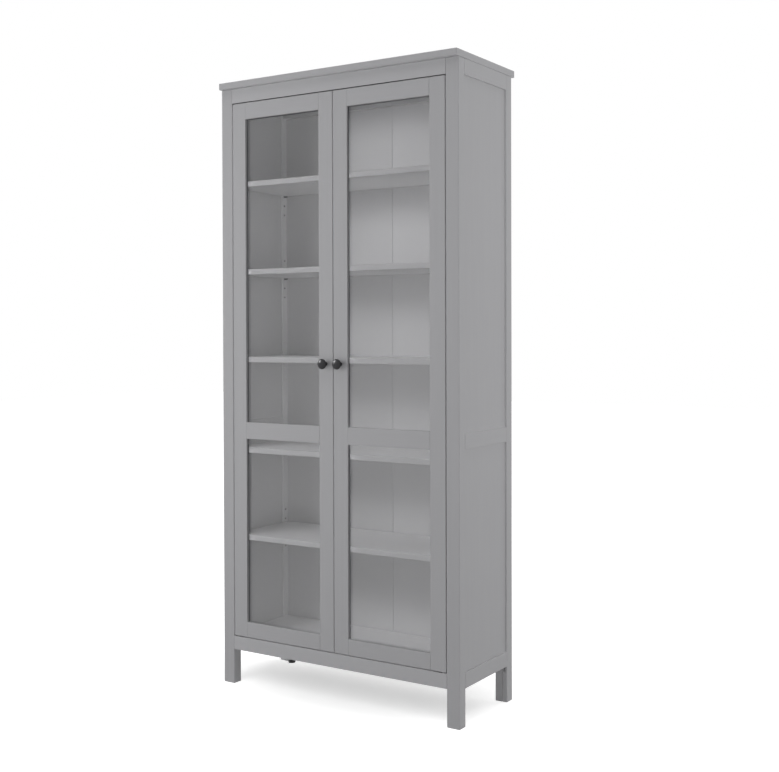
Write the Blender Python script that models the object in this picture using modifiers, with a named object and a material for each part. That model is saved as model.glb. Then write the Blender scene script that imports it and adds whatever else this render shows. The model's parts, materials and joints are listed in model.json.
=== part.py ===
"""Tall glass-door cabinet with frame-and-panel sides, two glazed doors on pivot hinges and loose shelves.

Units are metres, +Z is up and the doors face -Y. Every piece is placed in the cabinet's own frame, which
has its origin on the floor, midway between the sides, in the plane of the front faces. That frame hangs on
one empty, and each door hangs on an empty on its hinge axis.
"""

import math
from dataclasses import dataclass

import bmesh
import bpy
from mathutils import Matrix, Vector

# Overall sizes
WIDTH = 0.900
HEIGHT = 1.972
BODY_DEPTH = 0.331
LEG_CLEARANCE = 0.113

# Clearances
SEAT_GAP = 0.0003
DOOR_GAP = 0.003

# Top panel
TOP_THICKNESS = 0.0215
TOP_SIDE_OVERHANG = 0.001
TOP_FRONT_OVERHANG = 0.013
TOP_REAR_OVERHANG = 0.019
TOP_EASE = 0.002

# Posts and legs
FRONT_POST_WIDTH = 0.044
FRONT_POST_DEPTH = 0.034
REAR_POST_WIDTH = 0.017
REAR_POST_DEPTH = 0.035
LEG_BLOCK_WIDTH = 0.024
POST_EASE = 0.0015
BOARD_EASE = 0.0008

# Rails of the front and the rear
FRONT_TOP_RAIL_HEIGHT = 0.0465
FRONT_BOTTOM_RAIL_HEIGHT = 0.0445
FRONT_RAIL_DEPTH = 0.034
REAR_TOP_RAIL_HEIGHT = 0.048
REAR_BOTTOM_RAIL_HEIGHT = 0.045
REAR_RAIL_THICKNESS = 0.018
TENON_LENGTH = 0.008
TENON_SHOULDER = 0.006

# Side frames
MID_RAIL_CENTRE_HEIGHT = 0.836
SIDE_TOP_RAIL_HEIGHT = 0.046
SIDE_MID_RAIL_HEIGHT = 0.046
SIDE_BOTTOM_RAIL_HEIGHT = 0.0455
SIDE_RAIL_THICKNESS = 0.017
SIDE_PANEL_THICKNESS = 0.007
SIDE_PANEL_RECESS = 0.0058
SIDE_GROOVE_DEPTH = 0.008
SIDE_GROOVE_RUN_OUT = 0.017
GROOVE_END_ROOM = 0.001

# Boards inside
BOTTOM_PANEL_THICKNESS = 0.018
SHELF_THICKNESS = 0.018
SHELF_EASE = 0.0015
SHELF_END_ROOM = 0.0015
SHELF_FRONT_SETBACK = 0.002
FIXED_SHELF_DROP = 0.059
FIRST_SHELF_RISE = 0.298
SHELF_SPACING = 0.288
SHELF_HEADROOM = 0.150

# Shelf pins and the holes for them
PIN_RADIUS = 0.0025
PIN_REACH = 0.012
PIN_HOLE_DEPTH = 0.008
PIN_HOLE_PITCH = 0.032
PIN_HOLES_PER_GROUP = 5
REAR_PIN_INSET = 0.013
FRONT_PIN_INSET = 0.0125

# Back
BACK_PANEL_THICKNESS = 0.004
BACK_PANEL_SET_IN = 0.005
BACK_GROOVE_DEPTH = 0.006
BACK_SEAM_OFFSET = 0.007
JOINT_STRIP_WIDTH = 0.010
JOINT_STRIP_LIP = 0.0012
JOINT_STRIP_WEB = 0.0015
STRIP_ROOM = 0.001

# Doors
DOOR_THICKNESS = 0.020
STILE_WIDTH = 0.053
DOOR_TOP_RAIL_HEIGHT = 0.053
DOOR_MID_RAIL_HEIGHT = 0.054
DOOR_BOTTOM_RAIL_HEIGHT = 0.049
GLASS_THICKNESS = 0.004
GLASS_SETBACK = 0.011
GLASS_BITE = 0.008
GLASS_BACK_LAP = 0.003

# Pivot hinges
PIVOT_INSET = 0.012
PIVOT_SETBACK = 0.0075
PIVOT_RADIUS = 0.003
PIVOT_LENGTH = 0.010
BUSH_WALL = 0.0015
HINGE_PLATE_LENGTH = 0.036
HINGE_PLATE_WIDTH = 0.010
HINGE_PLATE_THICKNESS = 0.0025
HINGE_PLATE_END = 0.008

# Knobs
KNOB_HEIGHT = 1.057
KNOB_RADIUS = 0.0163
KNOB_PROJECTION = 0.029
KNOB_CROWN = 0.0085
KNOB_UNDERCUT = 0.0065
KNOB_NECK_RADIUS = 0.0052
KNOB_BASE_RADIUS = 0.0066
SCREW_RADIUS = 0.002
SCREW_HEAD_RADIUS = 0.0042
SCREW_HEAD_HEIGHT = 0.0025
SCREW_BITE = 0.011

# Catch
CATCH_WIDTH = 0.070
CATCH_HEIGHT = 0.022
STRIKE_LENGTH = 0.028
STRIKE_HEIGHT = 0.014
STRIKE_THICKNESS = 0.0012
STRIKE_EDGE = 0.004

# Levelling foot
FOOT_RADIUS = 0.0125
FOOT_HEIGHT = 0.009
FOOT_STEM_RADIUS = 0.004
FOOT_LEG_ROOM = 0.001
FOOT_FORWARD = 0.004

# Facets
PEG_SIDES = 12
BUSH_SIDES = 16
TURNED_STEPS = 24
EASE_SEGMENTS = 1
TOP_EASE_SEGMENTS = 3
KNOB_ARC_POINTS = 7
EDGE_TOLERANCE = 0.001

# Places worked out from the sizes above, in the cabinet's frame
SIDE_FACE = WIDTH / 2 - TOP_SIDE_OVERHANG
POST_TOP = HEIGHT - TOP_THICKNESS - SEAT_GAP
DOORWAY_HALF = SIDE_FACE - FRONT_POST_WIDTH
REAR_POST_FRONT = BODY_DEPTH - REAR_POST_DEPTH
REAR_POST_INSIDE = SIDE_FACE - REAR_POST_WIDTH
LEG_BLOCK_INSIDE = REAR_POST_INSIDE - LEG_BLOCK_WIDTH
APRON_TOP = LEG_CLEARANCE + FRONT_BOTTOM_RAIL_HEIGHT
DOORWAY_TOP = POST_TOP - FRONT_TOP_RAIL_HEIGHT
BOTTOM_PANEL_UNDERSIDE = APRON_TOP - BOTTOM_PANEL_THICKNESS
BACK_REAR = BODY_DEPTH - BACK_PANEL_SET_IN
BACK_FRONT = BACK_REAR - BACK_PANEL_THICKNESS
STRIP_FRONT = BACK_FRONT - SEAT_GAP - JOINT_STRIP_LIP
BOARD_REAR = STRIP_FRONT - STRIP_ROOM
REAR_RAIL_REAR = STRIP_FRONT - SEAT_GAP
REAR_RAIL_FRONT = REAR_RAIL_REAR - REAR_RAIL_THICKNESS
BOARD_HALF = min(REAR_POST_INSIDE, SIDE_FACE - SIDE_RAIL_THICKNESS) - SEAT_GAP
FIXED_SHELF_TOP = MID_RAIL_CENTRE_HEIGHT - FIXED_SHELF_DROP
FIXED_SHELF_UNDERSIDE = FIXED_SHELF_TOP - SHELF_THICKNESS
PANEL_OUTSIDE = SIDE_FACE - SIDE_PANEL_RECESS
PANEL_INSIDE = PANEL_OUTSIDE - SIDE_PANEL_THICKNESS
DOOR_BOTTOM = APRON_TOP + DOOR_GAP
DOOR_TOP = DOORWAY_TOP - DOOR_GAP
DOOR_MEETING_EDGE = DOOR_GAP / 2
DOOR_HINGE_EDGE = DOORWAY_HALF - DOOR_GAP
GLASS_GROOVE_DEPTH = GLASS_BITE + GROOVE_END_ROOM
PIVOT_X = DOOR_HINGE_EDGE - PIVOT_INSET
CATCH_FRONT = DOOR_THICKNESS + STRIKE_THICKNESS + 2 * SEAT_GAP
FRAME_SET_BACK = (KNOB_PROJECTION + SEAT_GAP - BODY_DEPTH - TOP_REAR_OVERHANG) / 2

SIDES = {"left": -1, "right": 1}


@dataclass
class Assembly:
    """An empty that carries pieces, and its place in the cabinet's frame."""

    empty: bpy.types.Object
    origin: Vector


def clear_scene():
    for obj in list(bpy.data.objects):
        bpy.data.objects.remove(obj)


def new_collection(name):
    collection = bpy.data.collections.new(name)
    bpy.context.scene.collection.children.link(collection)
    return collection


clear_scene()
PARTS = new_collection("glass_door_cabinet")
HELPERS = new_collection("cutters")


def material(name, colour, roughness, metallic=0.0, alpha=1.0):
    made = bpy.data.materials.new(name)
    made.use_nodes = True
    shader = made.node_tree.nodes["Principled BSDF"]
    shader.inputs["Base Color"].default_value = (*colour, 1.0)
    shader.inputs["Roughness"].default_value = roughness
    shader.inputs["Metallic"].default_value = metallic
    shader.inputs["Alpha"].default_value = alpha
    made.diffuse_color = (*colour, alpha)
    return made


GREY_PAINT = material("grey_paint", (0.335, 0.335, 0.342), 0.45)
CLEAR_GLASS = material("clear_glass", (0.92, 0.95, 0.94), 0.02, alpha=0.25)
DARK_METAL = material("dark_metal", (0.028, 0.028, 0.032), 0.38, metallic=0.6)
BRIGHT_STEEL = material("bright_steel", (0.62, 0.62, 0.60), 0.30, metallic=1.0)
BLACK_PLASTIC = material("black_plastic", (0.012, 0.012, 0.013), 0.50)
PALE_PLASTIC = material("pale_plastic", (0.62, 0.62, 0.60), 0.55)


def new_assembly(name, origin, parent=None):
    """An empty at a place in the cabinet's frame, hung on the parent assembly if there is one."""
    empty = bpy.data.objects.new(name, None)
    PARTS.objects.link(empty)
    empty.location = origin
    if parent:
        empty.parent = parent.empty
        empty.location = Vector(origin) - parent.origin
        return Assembly(empty, Vector(origin))
    return Assembly(empty, Vector((0.0, 0.0, 0.0)))


def place(obj, collection, assembly, at, surface=None):
    """Links an object and sets it at a place in the cabinet's frame."""
    collection.objects.link(obj)
    obj.parent = assembly.empty
    obj.location = Vector(at) - assembly.origin
    if surface:
        obj.data.materials.append(surface)
    return obj


def block_shape(x, y, z):
    """The corner vectors of a block given by its extents."""
    return Vector((x[0], y[0], z[0])), Vector((x[1], y[1], z[1]))


def add_block(mesh, low, high):
    middle = (low + high) / 2
    scale = Matrix.Diagonal((*(high - low), 1.0))
    bmesh.ops.create_cube(mesh, size=1.0, matrix=Matrix.Translation(middle) @ scale)


def add_rod(mesh, start, reach, radius, sides):
    turn = reach.to_track_quat("Z", "Y").to_matrix().to_4x4()
    bmesh.ops.create_cone(
        mesh,
        cap_ends=True,
        segments=sides,
        radius1=radius,
        radius2=radius,
        depth=reach.length,
        matrix=Matrix.Translation(start + reach / 2) @ turn,
    )


def board(name, x, y, z, surface, assembly, ease=BOARD_EASE, segments=EASE_SEGMENTS, square_ends=False):
    """A straight piece given by its extents in the cabinet's frame, with eased edges.

    A board with square ends is eased only along its length, so that it meets its neighbours closely.
    """
    low, high = block_shape(x, y, z)
    middle = (low + high) / 2
    shape = bmesh.new()
    add_block(shape, low - middle, high - middle)
    longest = max(high - low)
    weight = shape.edges.layers.float.new("bevel_weight_edge")
    for edge in shape.edges:
        runs_along = math.isclose(edge.calc_length(), longest, rel_tol=EDGE_TOLERANCE)
        edge[weight] = 1.0 if runs_along or not square_ends else 0.0
    mesh = bpy.data.meshes.new(name)
    shape.to_mesh(mesh)
    shape.free()
    obj = place(bpy.data.objects.new(name, mesh), PARTS, assembly, middle, surface)
    if ease:
        bevel = obj.modifiers.new("eased_edges", "BEVEL")
        bevel.width = ease
        bevel.segments = segments
        bevel.limit_method = "WEIGHT"
    return obj


def boolean(target, operation, blocks=(), rods=(), sides=PEG_SIDES):
    """Cuts or joins blocks and rods, given in the cabinet's frame, with one hidden helper."""
    assembly = ASSEMBLY_OF[target.parent.name]
    shape = bmesh.new()
    for low, high in blocks:
        add_block(shape, low, high)
    for start, reach, radius in rods:
        add_rod(shape, start, reach, radius, sides)
    name = f"{target.name}_{operation.lower()}_{len(target.modifiers)}"
    mesh = bpy.data.meshes.new(name)
    shape.to_mesh(mesh)
    shape.free()
    helper = place(bpy.data.objects.new(name, mesh), HELPERS, assembly, (0.0, 0.0, 0.0))
    helper.hide_render = True
    helper.display_type = "WIRE"
    modifier = target.modifiers.new(name, "BOOLEAN")
    modifier.operation = operation
    modifier.object = helper
    modifier.solver = "EXACT"


def cut(target, *blocks):
    boolean(target, "DIFFERENCE", blocks)


def join(target, *blocks):
    boolean(target, "UNION", blocks)


def turned(name, profile, at, axis, surface, assembly):
    """A turned piece: the profile gives (radius, height) down its outer side, along the axis from at."""
    mesh = bpy.data.meshes.new(name)
    points = [(radius, 0.0, height) for radius, height in profile]
    mesh.from_pydata(points, [(i, i + 1) for i in range(len(points) - 1)], [])
    obj = place(bpy.data.objects.new(name, mesh), PARTS, assembly, at, surface)
    obj.rotation_mode = "QUATERNION"
    obj.rotation_quaternion = Vector(axis).to_track_quat("Z", "Y")
    screw = obj.modifiers.new("turned", "SCREW")
    screw.steps = TURNED_STEPS
    screw.render_steps = TURNED_STEPS
    screw.use_merge_vertices = True
    screw.merge_threshold = 0.00001
    screw.use_smooth_shade = True
    return obj


def extruded(name, outline, bottom, top, at, surface, assembly):
    """A straight moulding: a flat outline carried from the bottom height to the top height."""
    curve = bpy.data.curves.new(name, "CURVE")
    curve.dimensions = "2D"
    curve.fill_mode = "BOTH"
    curve.extrude = (top - bottom) / 2
    spline = curve.splines.new("POLY")
    spline.points.add(len(outline) - 1)
    for point, (x, y) in zip(spline.points, outline):
        point.co = (x, y, 0.0, 1.0)
    spline.use_cyclic_u = True
    middle = Vector((at[0], at[1], (bottom + top) / 2))
    return place(bpy.data.objects.new(name, curve), PARTS, assembly, middle, surface)


def on_side(side, inner, outer):
    """An x extent on one side of the cabinet, given by its distances from the middle."""
    return (inner, outer) if side > 0 else (-outer, -inner)


CABINET = new_assembly("cabinet", (0.0, FRAME_SET_BACK, 0.0))
DOOR_PIVOTS = {
    word: new_assembly(f"{word}_door_pivot", (side * PIVOT_X, PIVOT_SETBACK, DOOR_BOTTOM), CABINET)
    for word, side in SIDES.items()
}
ASSEMBLY_OF = {assembly.empty.name: assembly for assembly in (CABINET, *DOOR_PIVOTS.values())}


def shelf_undersides():
    """The heights of the loose shelves' undersides, above and below the fixed shelf."""
    upper = []
    height = FIXED_SHELF_UNDERSIDE + FIRST_SHELF_RISE
    while height + SHELF_THICKNESS + SHELF_HEADROOM < POST_TOP:
        upper.append(height)
        height += SHELF_SPACING
    return upper, [FIXED_SHELF_UNDERSIDE - SHELF_SPACING]


def pin_heights():
    """The heights of the shelf pins' centres."""
    upper, lower = shelf_undersides()
    return [underside - SEAT_GAP - PIN_RADIUS for underside in lower + upper]


def empty_hole_heights():
    """The heights of the holes above and below each pin, which stay empty."""
    reach = PIN_HOLES_PER_GROUP // 2
    steps = [step for step in range(-reach, reach + 1) if step]
    return [pin + step * PIN_HOLE_PITCH for pin in pin_heights() for step in steps]


def fit_shelf_pins(post, face_point, inward):
    """Plugs a pin in the middle hole of each group in a post's face and drills the holes beside it."""
    x, y = face_point
    reach = Vector(inward)
    pins = []
    for height in pin_heights():
        start = Vector((x, y, height)) - reach * PIN_HOLE_DEPTH
        pins.append((start, reach * (PIN_HOLE_DEPTH + PIN_REACH), PIN_RADIUS))
    holes = []
    for height in empty_hole_heights():
        start = Vector((x, y, height)) - reach * PIN_HOLE_DEPTH
        holes.append((start, reach * PIN_HOLE_DEPTH * 2, PIN_RADIUS))
    boolean(post, "DIFFERENCE", rods=holes)
    boolean(post, "UNION", rods=pins)


def side_groove(side, y):
    """The stopped groove in a post for the side panels and the rails' tongues."""
    x = on_side(side, PANEL_INSIDE - SEAT_GAP, PANEL_OUTSIDE + SEAT_GAP)
    return block_shape(x, y, (LEG_CLEARANCE - SIDE_GROOVE_RUN_OUT, HEIGHT))


def rail_tenon(side, face, y, z, slack=0.0):
    """The tenon of a cross rail in the part that it meets at the face, or with slack its mortise."""
    x = on_side(side, face - TENON_LENGTH, face + TENON_LENGTH + slack)
    edge = TENON_SHOULDER - slack
    return block_shape(x, (y[0] + edge, y[1] - edge), (z[0] + edge, z[1] - edge))


def make_cross_rail(name, face, y, z):
    """A rail between the two sides, with a tenon at each end."""
    half = face - SEAT_GAP
    rail = board(name, (-half, half), y, z, GREY_PAINT, CABINET, square_ends=True)
    join(rail, *(rail_tenon(side, face, y, z) for side in SIDES.values()))
    return rail


FRONT_RAIL_Y = (0.0, FRONT_RAIL_DEPTH)
REAR_RAIL_Y = (REAR_RAIL_FRONT, REAR_RAIL_REAR)
FRONT_TOP_RAIL_Z = (DOORWAY_TOP, POST_TOP)
FRONT_BOTTOM_RAIL_Z = (LEG_CLEARANCE, APRON_TOP)
REAR_TOP_RAIL_Z = (POST_TOP - REAR_TOP_RAIL_HEIGHT, POST_TOP)
REAR_BOTTOM_RAIL_Z = (
    BOTTOM_PANEL_UNDERSIDE - SEAT_GAP - REAR_BOTTOM_RAIL_HEIGHT,
    BOTTOM_PANEL_UNDERSIDE - SEAT_GAP,
)


def make_front_post(word, side):
    x = on_side(side, DOORWAY_HALF, SIDE_FACE)
    y = (0.0, FRONT_POST_DEPTH)
    post = board(f"front_post_{word}", x, y, (0.0, POST_TOP), GREY_PAINT, CABINET, POST_EASE)
    groove_y = (FRONT_POST_DEPTH - SIDE_GROOVE_DEPTH, FRONT_POST_DEPTH + SIDE_GROOVE_DEPTH)
    cut(
        post,
        side_groove(side, groove_y),
        rail_tenon(side, DOORWAY_HALF, FRONT_RAIL_Y, FRONT_TOP_RAIL_Z, SEAT_GAP),
        rail_tenon(side, DOORWAY_HALF, FRONT_RAIL_Y, FRONT_BOTTOM_RAIL_Z, SEAT_GAP),
    )
    pin_x = side * (DOORWAY_HALF + FRONT_PIN_INSET)
    fit_shelf_pins(post, (pin_x, FRONT_POST_DEPTH), (0.0, 1.0, 0.0))


def make_rear_post(word, side):
    x = on_side(side, REAR_POST_INSIDE, SIDE_FACE)
    y = (REAR_POST_FRONT, BODY_DEPTH)
    post = board(f"rear_post_{word}", x, y, (0.0, POST_TOP), GREY_PAINT, CABINET, POST_EASE)
    groove_y = (REAR_POST_FRONT - SIDE_GROOVE_DEPTH, REAR_POST_FRONT + SIDE_GROOVE_DEPTH)
    back_groove = block_shape(
        on_side(side, REAR_POST_INSIDE - BACK_GROOVE_DEPTH, REAR_POST_INSIDE + BACK_GROOVE_DEPTH),
        (BACK_FRONT - SEAT_GAP, BACK_REAR + SEAT_GAP),
        (BOTTOM_PANEL_UNDERSIDE - SEAT_GAP, HEIGHT),
    )
    cut(
        post,
        side_groove(side, groove_y),
        back_groove,
        rail_tenon(side, REAR_POST_INSIDE, REAR_RAIL_Y, REAR_TOP_RAIL_Z, SEAT_GAP),
    )
    fit_shelf_pins(post, (side * REAR_POST_INSIDE, REAR_POST_FRONT + REAR_PIN_INSET), (-side, 0.0, 0.0))


def make_leg_block(word, side):
    x = on_side(side, LEG_BLOCK_INSIDE, REAR_POST_INSIDE - SEAT_GAP)
    y = (REAR_POST_FRONT, BODY_DEPTH)
    z = (0.0, BOTTOM_PANEL_UNDERSIDE - SEAT_GAP)
    block = board(f"rear_leg_block_{word}", x, y, z, GREY_PAINT, CABINET)
    cut(block, rail_tenon(side, LEG_BLOCK_INSIDE, REAR_RAIL_Y, REAR_BOTTOM_RAIL_Z, SEAT_GAP))


def make_side_frame(word, side):
    """The three rails and two panels between the posts of one side."""
    front, rear = FRONT_POST_DEPTH, REAR_POST_FRONT
    rail_x = on_side(side, SIDE_FACE - SIDE_RAIL_THICKNESS, SIDE_FACE)
    panel_x = on_side(side, PANEL_INSIDE, PANEL_OUTSIDE)
    groove_x = on_side(side, PANEL_INSIDE - SEAT_GAP, PANEL_OUTSIDE + SEAT_GAP)
    tongue = SIDE_GROOVE_DEPTH - GROOVE_END_ROOM
    mid_low = MID_RAIL_CENTRE_HEIGHT - SIDE_MID_RAIL_HEIGHT / 2
    heights = {
        "bottom": (LEG_CLEARANCE, LEG_CLEARANCE + SIDE_BOTTOM_RAIL_HEIGHT),
        "mid": (mid_low, mid_low + SIDE_MID_RAIL_HEIGHT),
        "top": (POST_TOP - SIDE_TOP_RAIL_HEIGHT, POST_TOP),
    }
    for level, (low, high) in heights.items():
        rail_y = (front + SEAT_GAP, rear - SEAT_GAP)
        name = f"side_{level}_rail_{word}"
        rail = board(name, rail_x, rail_y, (low, high), GREY_PAINT, CABINET, square_ends=True)
        tongue_low = low if level == "bottom" else low + SIDE_GROOVE_DEPTH
        tongue_high = high if level == "top" else high - SIDE_GROOVE_DEPTH
        tongue_z = (tongue_low + BOARD_EASE, tongue_high - BOARD_EASE)
        join(
            rail,
            block_shape(panel_x, (front - tongue, front + tongue), tongue_z),
            block_shape(panel_x, (rear - tongue, rear + tongue), tongue_z),
        )
        run_y = (front - SIDE_GROOVE_DEPTH, rear + SIDE_GROOVE_DEPTH)
        depth = SIDE_GROOVE_DEPTH
        panel_edges = [low] * (level != "bottom") + [high] * (level != "top")
        cut(rail, *(block_shape(groove_x, run_y, (edge - depth, edge + depth)) for edge in panel_edges))
    panel_y = (front - tongue, rear + tongue)
    for level, below, above in (("lower", "bottom", "mid"), ("upper", "mid", "top")):
        z = (heights[below][1] - tongue, heights[above][0] + tongue)
        board(f"side_panel_{level}_{word}", panel_x, panel_y, z, GREY_PAINT, CABINET, ease=0.0)


def make_top_panel():
    half = WIDTH / 2
    y = (-TOP_FRONT_OVERHANG, BODY_DEPTH + TOP_REAR_OVERHANG)
    z = (HEIGHT - TOP_THICKNESS, HEIGHT)
    board("top_panel", (-half, half), y, z, GREY_PAINT, CABINET, TOP_EASE, TOP_EASE_SEGMENTS)


def make_cross_rails():
    top = make_cross_rail("front_top_rail", DOORWAY_HALF, FRONT_RAIL_Y, FRONT_TOP_RAIL_Z)
    bottom = make_cross_rail("front_bottom_rail", DOORWAY_HALF, FRONT_RAIL_Y, FRONT_BOTTOM_RAIL_Z)
    for side in SIDES.values():
        cut(top, hinge_pocket(side, DOORWAY_TOP))
        cut(bottom, hinge_pocket(side, APRON_TOP))
    make_cross_rail("rear_top_rail", REAR_POST_INSIDE, REAR_RAIL_Y, REAR_TOP_RAIL_Z)
    make_cross_rail("rear_bottom_rail", LEG_BLOCK_INSIDE, REAR_RAIL_Y, REAR_BOTTOM_RAIL_Z)


def make_fixed_boards():
    x = (-BOARD_HALF, BOARD_HALF)
    y = (max(FRONT_POST_DEPTH, FRONT_RAIL_DEPTH) + SEAT_GAP, BOARD_REAR)
    board("bottom_panel", x, y, (BOTTOM_PANEL_UNDERSIDE, APRON_TOP), GREY_PAINT, CABINET)
    z = (FIXED_SHELF_UNDERSIDE, FIXED_SHELF_TOP)
    board("fixed_shelf", x, y, z, GREY_PAINT, CABINET, SHELF_EASE)


def make_loose_shelves():
    half = BOARD_HALF - SHELF_END_ROOM
    y = (max(FRONT_POST_DEPTH, FRONT_RAIL_DEPTH) + SHELF_FRONT_SETBACK, BOARD_REAR)
    for place_word, undersides in zip(("upper", "lower"), shelf_undersides()):
        for number, underside in enumerate(undersides, start=1):
            z = (underside, underside + SHELF_THICKNESS)
            name = f"shelf_{place_word}_{number}"
            board(name, (-half, half), y, z, GREY_PAINT, CABINET, SHELF_EASE)


def make_back():
    """Two thin sheets whose meeting edges slide into the grooves of one strip."""
    low = BOTTOM_PANEL_UNDERSIDE
    high = POST_TOP - SEAT_GAP
    y = (BACK_FRONT, BACK_REAR)
    outer = REAR_POST_INSIDE + BACK_GROOVE_DEPTH - GROOVE_END_ROOM
    web = JOINT_STRIP_WEB / 2 + SEAT_GAP
    board("back_panel_left", (-outer, BACK_SEAM_OFFSET - web), y, (low, high), GREY_PAINT, CABINET, ease=0.0)
    board("back_panel_right", (BACK_SEAM_OFFSET + web, outer), y, (low, high), GREY_PAINT, CABINET, ease=0.0)
    half = JOINT_STRIP_WIDTH / 2
    groove = BACK_PANEL_THICKNESS / 2 + SEAT_GAP
    face = groove + JOINT_STRIP_LIP
    corner = [(half, face), (half, groove), (JOINT_STRIP_WEB / 2, groove)]
    right = corner + [(x, -y) for x, y in reversed(corner)]
    outline = right + [(-x, y) for x, y in reversed(right)]
    at = (BACK_SEAM_OFFSET, (BACK_FRONT + BACK_REAR) / 2)
    extruded("back_joint_strip", outline, low, high, at, GREY_PAINT, CABINET)


def make_levelling_foot():
    x = -(LEG_BLOCK_INSIDE - FOOT_LEG_ROOM - FOOT_RADIUS)
    at = (x, REAR_POST_FRONT - FOOT_FORWARD, 0.0)
    stem_top = BOTTOM_PANEL_UNDERSIDE - SEAT_GAP
    shoulder = FOOT_HEIGHT / 3
    profile = [
        (0.0, stem_top),
        (FOOT_STEM_RADIUS, stem_top),
        (FOOT_STEM_RADIUS, FOOT_HEIGHT),
        (FOOT_RADIUS - shoulder, FOOT_HEIGHT),
        (FOOT_RADIUS, FOOT_HEIGHT - shoulder),
        (FOOT_RADIUS, 0.0),
        (0.0, 0.0),
    ]
    turned("levelling_foot", profile, at, (0.0, 0.0, 1.0), BLACK_PLASTIC, CABINET)


def hinge_plate_extents(side, slack=0.0):
    """The x and y extents of a hinge plate, or with slack of the pocket that holds it."""
    outer = DOOR_HINGE_EDGE - (PIVOT_INSET - HINGE_PLATE_END)
    x = on_side(side, outer - HINGE_PLATE_LENGTH - slack, outer + slack)
    half = HINGE_PLATE_WIDTH / 2 + slack
    return x, (PIVOT_SETBACK - half, PIVOT_SETBACK + half)


def hinge_pocket(side, face):
    """The recess in a rail or a door edge for a plate that lies flush with the face."""
    x, y = hinge_plate_extents(side, SEAT_GAP)
    depth = HINGE_PLATE_THICKNESS + SEAT_GAP
    return block_shape(x, y, (face - depth, face + depth))


def make_hinge(word, side, level, rail_face, door_face):
    """One pivot hinge: a plate with a pin in the rail, and a plate with a bush in the door's edge."""
    into_door = math.copysign(1.0, door_face - rail_face)
    pivot = side * PIVOT_X
    x, y = hinge_plate_extents(side)
    rail_z = sorted((rail_face, rail_face - into_door * HINGE_PLATE_THICKNESS))
    plate = board(f"hinge_plate_{level}_{word}", x, y, rail_z, BRIGHT_STEEL, CABINET, ease=0.0)
    start = Vector((pivot, PIVOT_SETBACK, rail_face - into_door * HINGE_PLATE_THICKNESS / 2))
    pin_length = HINGE_PLATE_THICKNESS / 2 + DOOR_GAP + PIVOT_LENGTH
    pin = (start, Vector((0.0, 0.0, into_door * pin_length)), PIVOT_RADIUS)
    boolean(plate, "UNION", rods=[pin], sides=BUSH_SIDES)

    door = DOOR_PIVOTS[word]
    door_z = sorted((door_face, door_face + into_door * HINGE_PLATE_THICKNESS))
    socket = board(f"hinge_socket_{level}_{word}", x, y, door_z, BRIGHT_STEEL, door, ease=0.0)
    mouth = Vector((pivot, PIVOT_SETBACK, door_face))
    bush_start = mouth + Vector((0.0, 0.0, into_door * HINGE_PLATE_THICKNESS / 2))
    bush_length = PIVOT_LENGTH - HINGE_PLATE_THICKNESS / 2
    bush = (bush_start, Vector((0.0, 0.0, into_door * bush_length)), PIVOT_RADIUS + SEAT_GAP + BUSH_WALL)
    boolean(socket, "UNION", rods=[bush], sides=BUSH_SIDES)
    bore_start = mouth - Vector((0.0, 0.0, into_door * PIVOT_LENGTH))
    bore = (bore_start, Vector((0.0, 0.0, into_door * PIVOT_LENGTH * 3)), PIVOT_RADIUS + SEAT_GAP)
    boolean(socket, "DIFFERENCE", rods=[bore], sides=BUSH_SIDES)


def bush_holes(side):
    """The holes in a hinge stile's two ends for the pivot bushes and the pins in them."""
    radius = PIVOT_RADIUS + BUSH_WALL + 2 * SEAT_GAP
    depth = PIVOT_LENGTH + GROOVE_END_ROOM
    holes = []
    for face, inward in ((DOOR_BOTTOM, 1.0), (DOOR_TOP, -1.0)):
        start = Vector((side * PIVOT_X, PIVOT_SETBACK, face - inward * depth))
        holes.append((start, Vector((0.0, 0.0, inward * depth * 2)), radius))
    return holes


def door_rail_heights():
    mid_low = MID_RAIL_CENTRE_HEIGHT - DOOR_MID_RAIL_HEIGHT / 2
    return {
        "bottom": (DOOR_BOTTOM, DOOR_BOTTOM + DOOR_BOTTOM_RAIL_HEIGHT),
        "mid": (mid_low, mid_low + DOOR_MID_RAIL_HEIGHT),
        "top": (DOOR_TOP - DOOR_TOP_RAIL_HEIGHT, DOOR_TOP),
    }


GLASS_Y = (GLASS_SETBACK, GLASS_SETBACK + GLASS_THICKNESS)
GLASS_GROOVE_Y = (GLASS_Y[0] - SEAT_GAP, GLASS_Y[1] + SEAT_GAP)
DOOR_Y = (0.0, DOOR_THICKNESS)
GLASS_BACK_Y = (GLASS_Y[0], DOOR_THICKNESS * 2)
GLASS_BACK_STEP = GLASS_BITE - GLASS_BACK_LAP
PANE_INNER = DOOR_MEETING_EDGE + STILE_WIDTH
PANE_OUTER = DOOR_HINGE_EDGE - STILE_WIDTH


def glass_steps(side, edge):
    """The step behind each pane along a stile's inner edge, where the lip behind the glass is cut back."""
    heights = door_rail_heights()
    x = on_side(side, edge - GLASS_BACK_STEP, edge + GLASS_BACK_STEP)
    steps = []
    for below, above in (("bottom", "mid"), ("mid", "top")):
        z = (heights[below][1] - GLASS_BACK_STEP, heights[above][0] + GLASS_BACK_STEP)
        steps.append(block_shape(x, GLASS_BACK_Y, z))
    return steps


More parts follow.
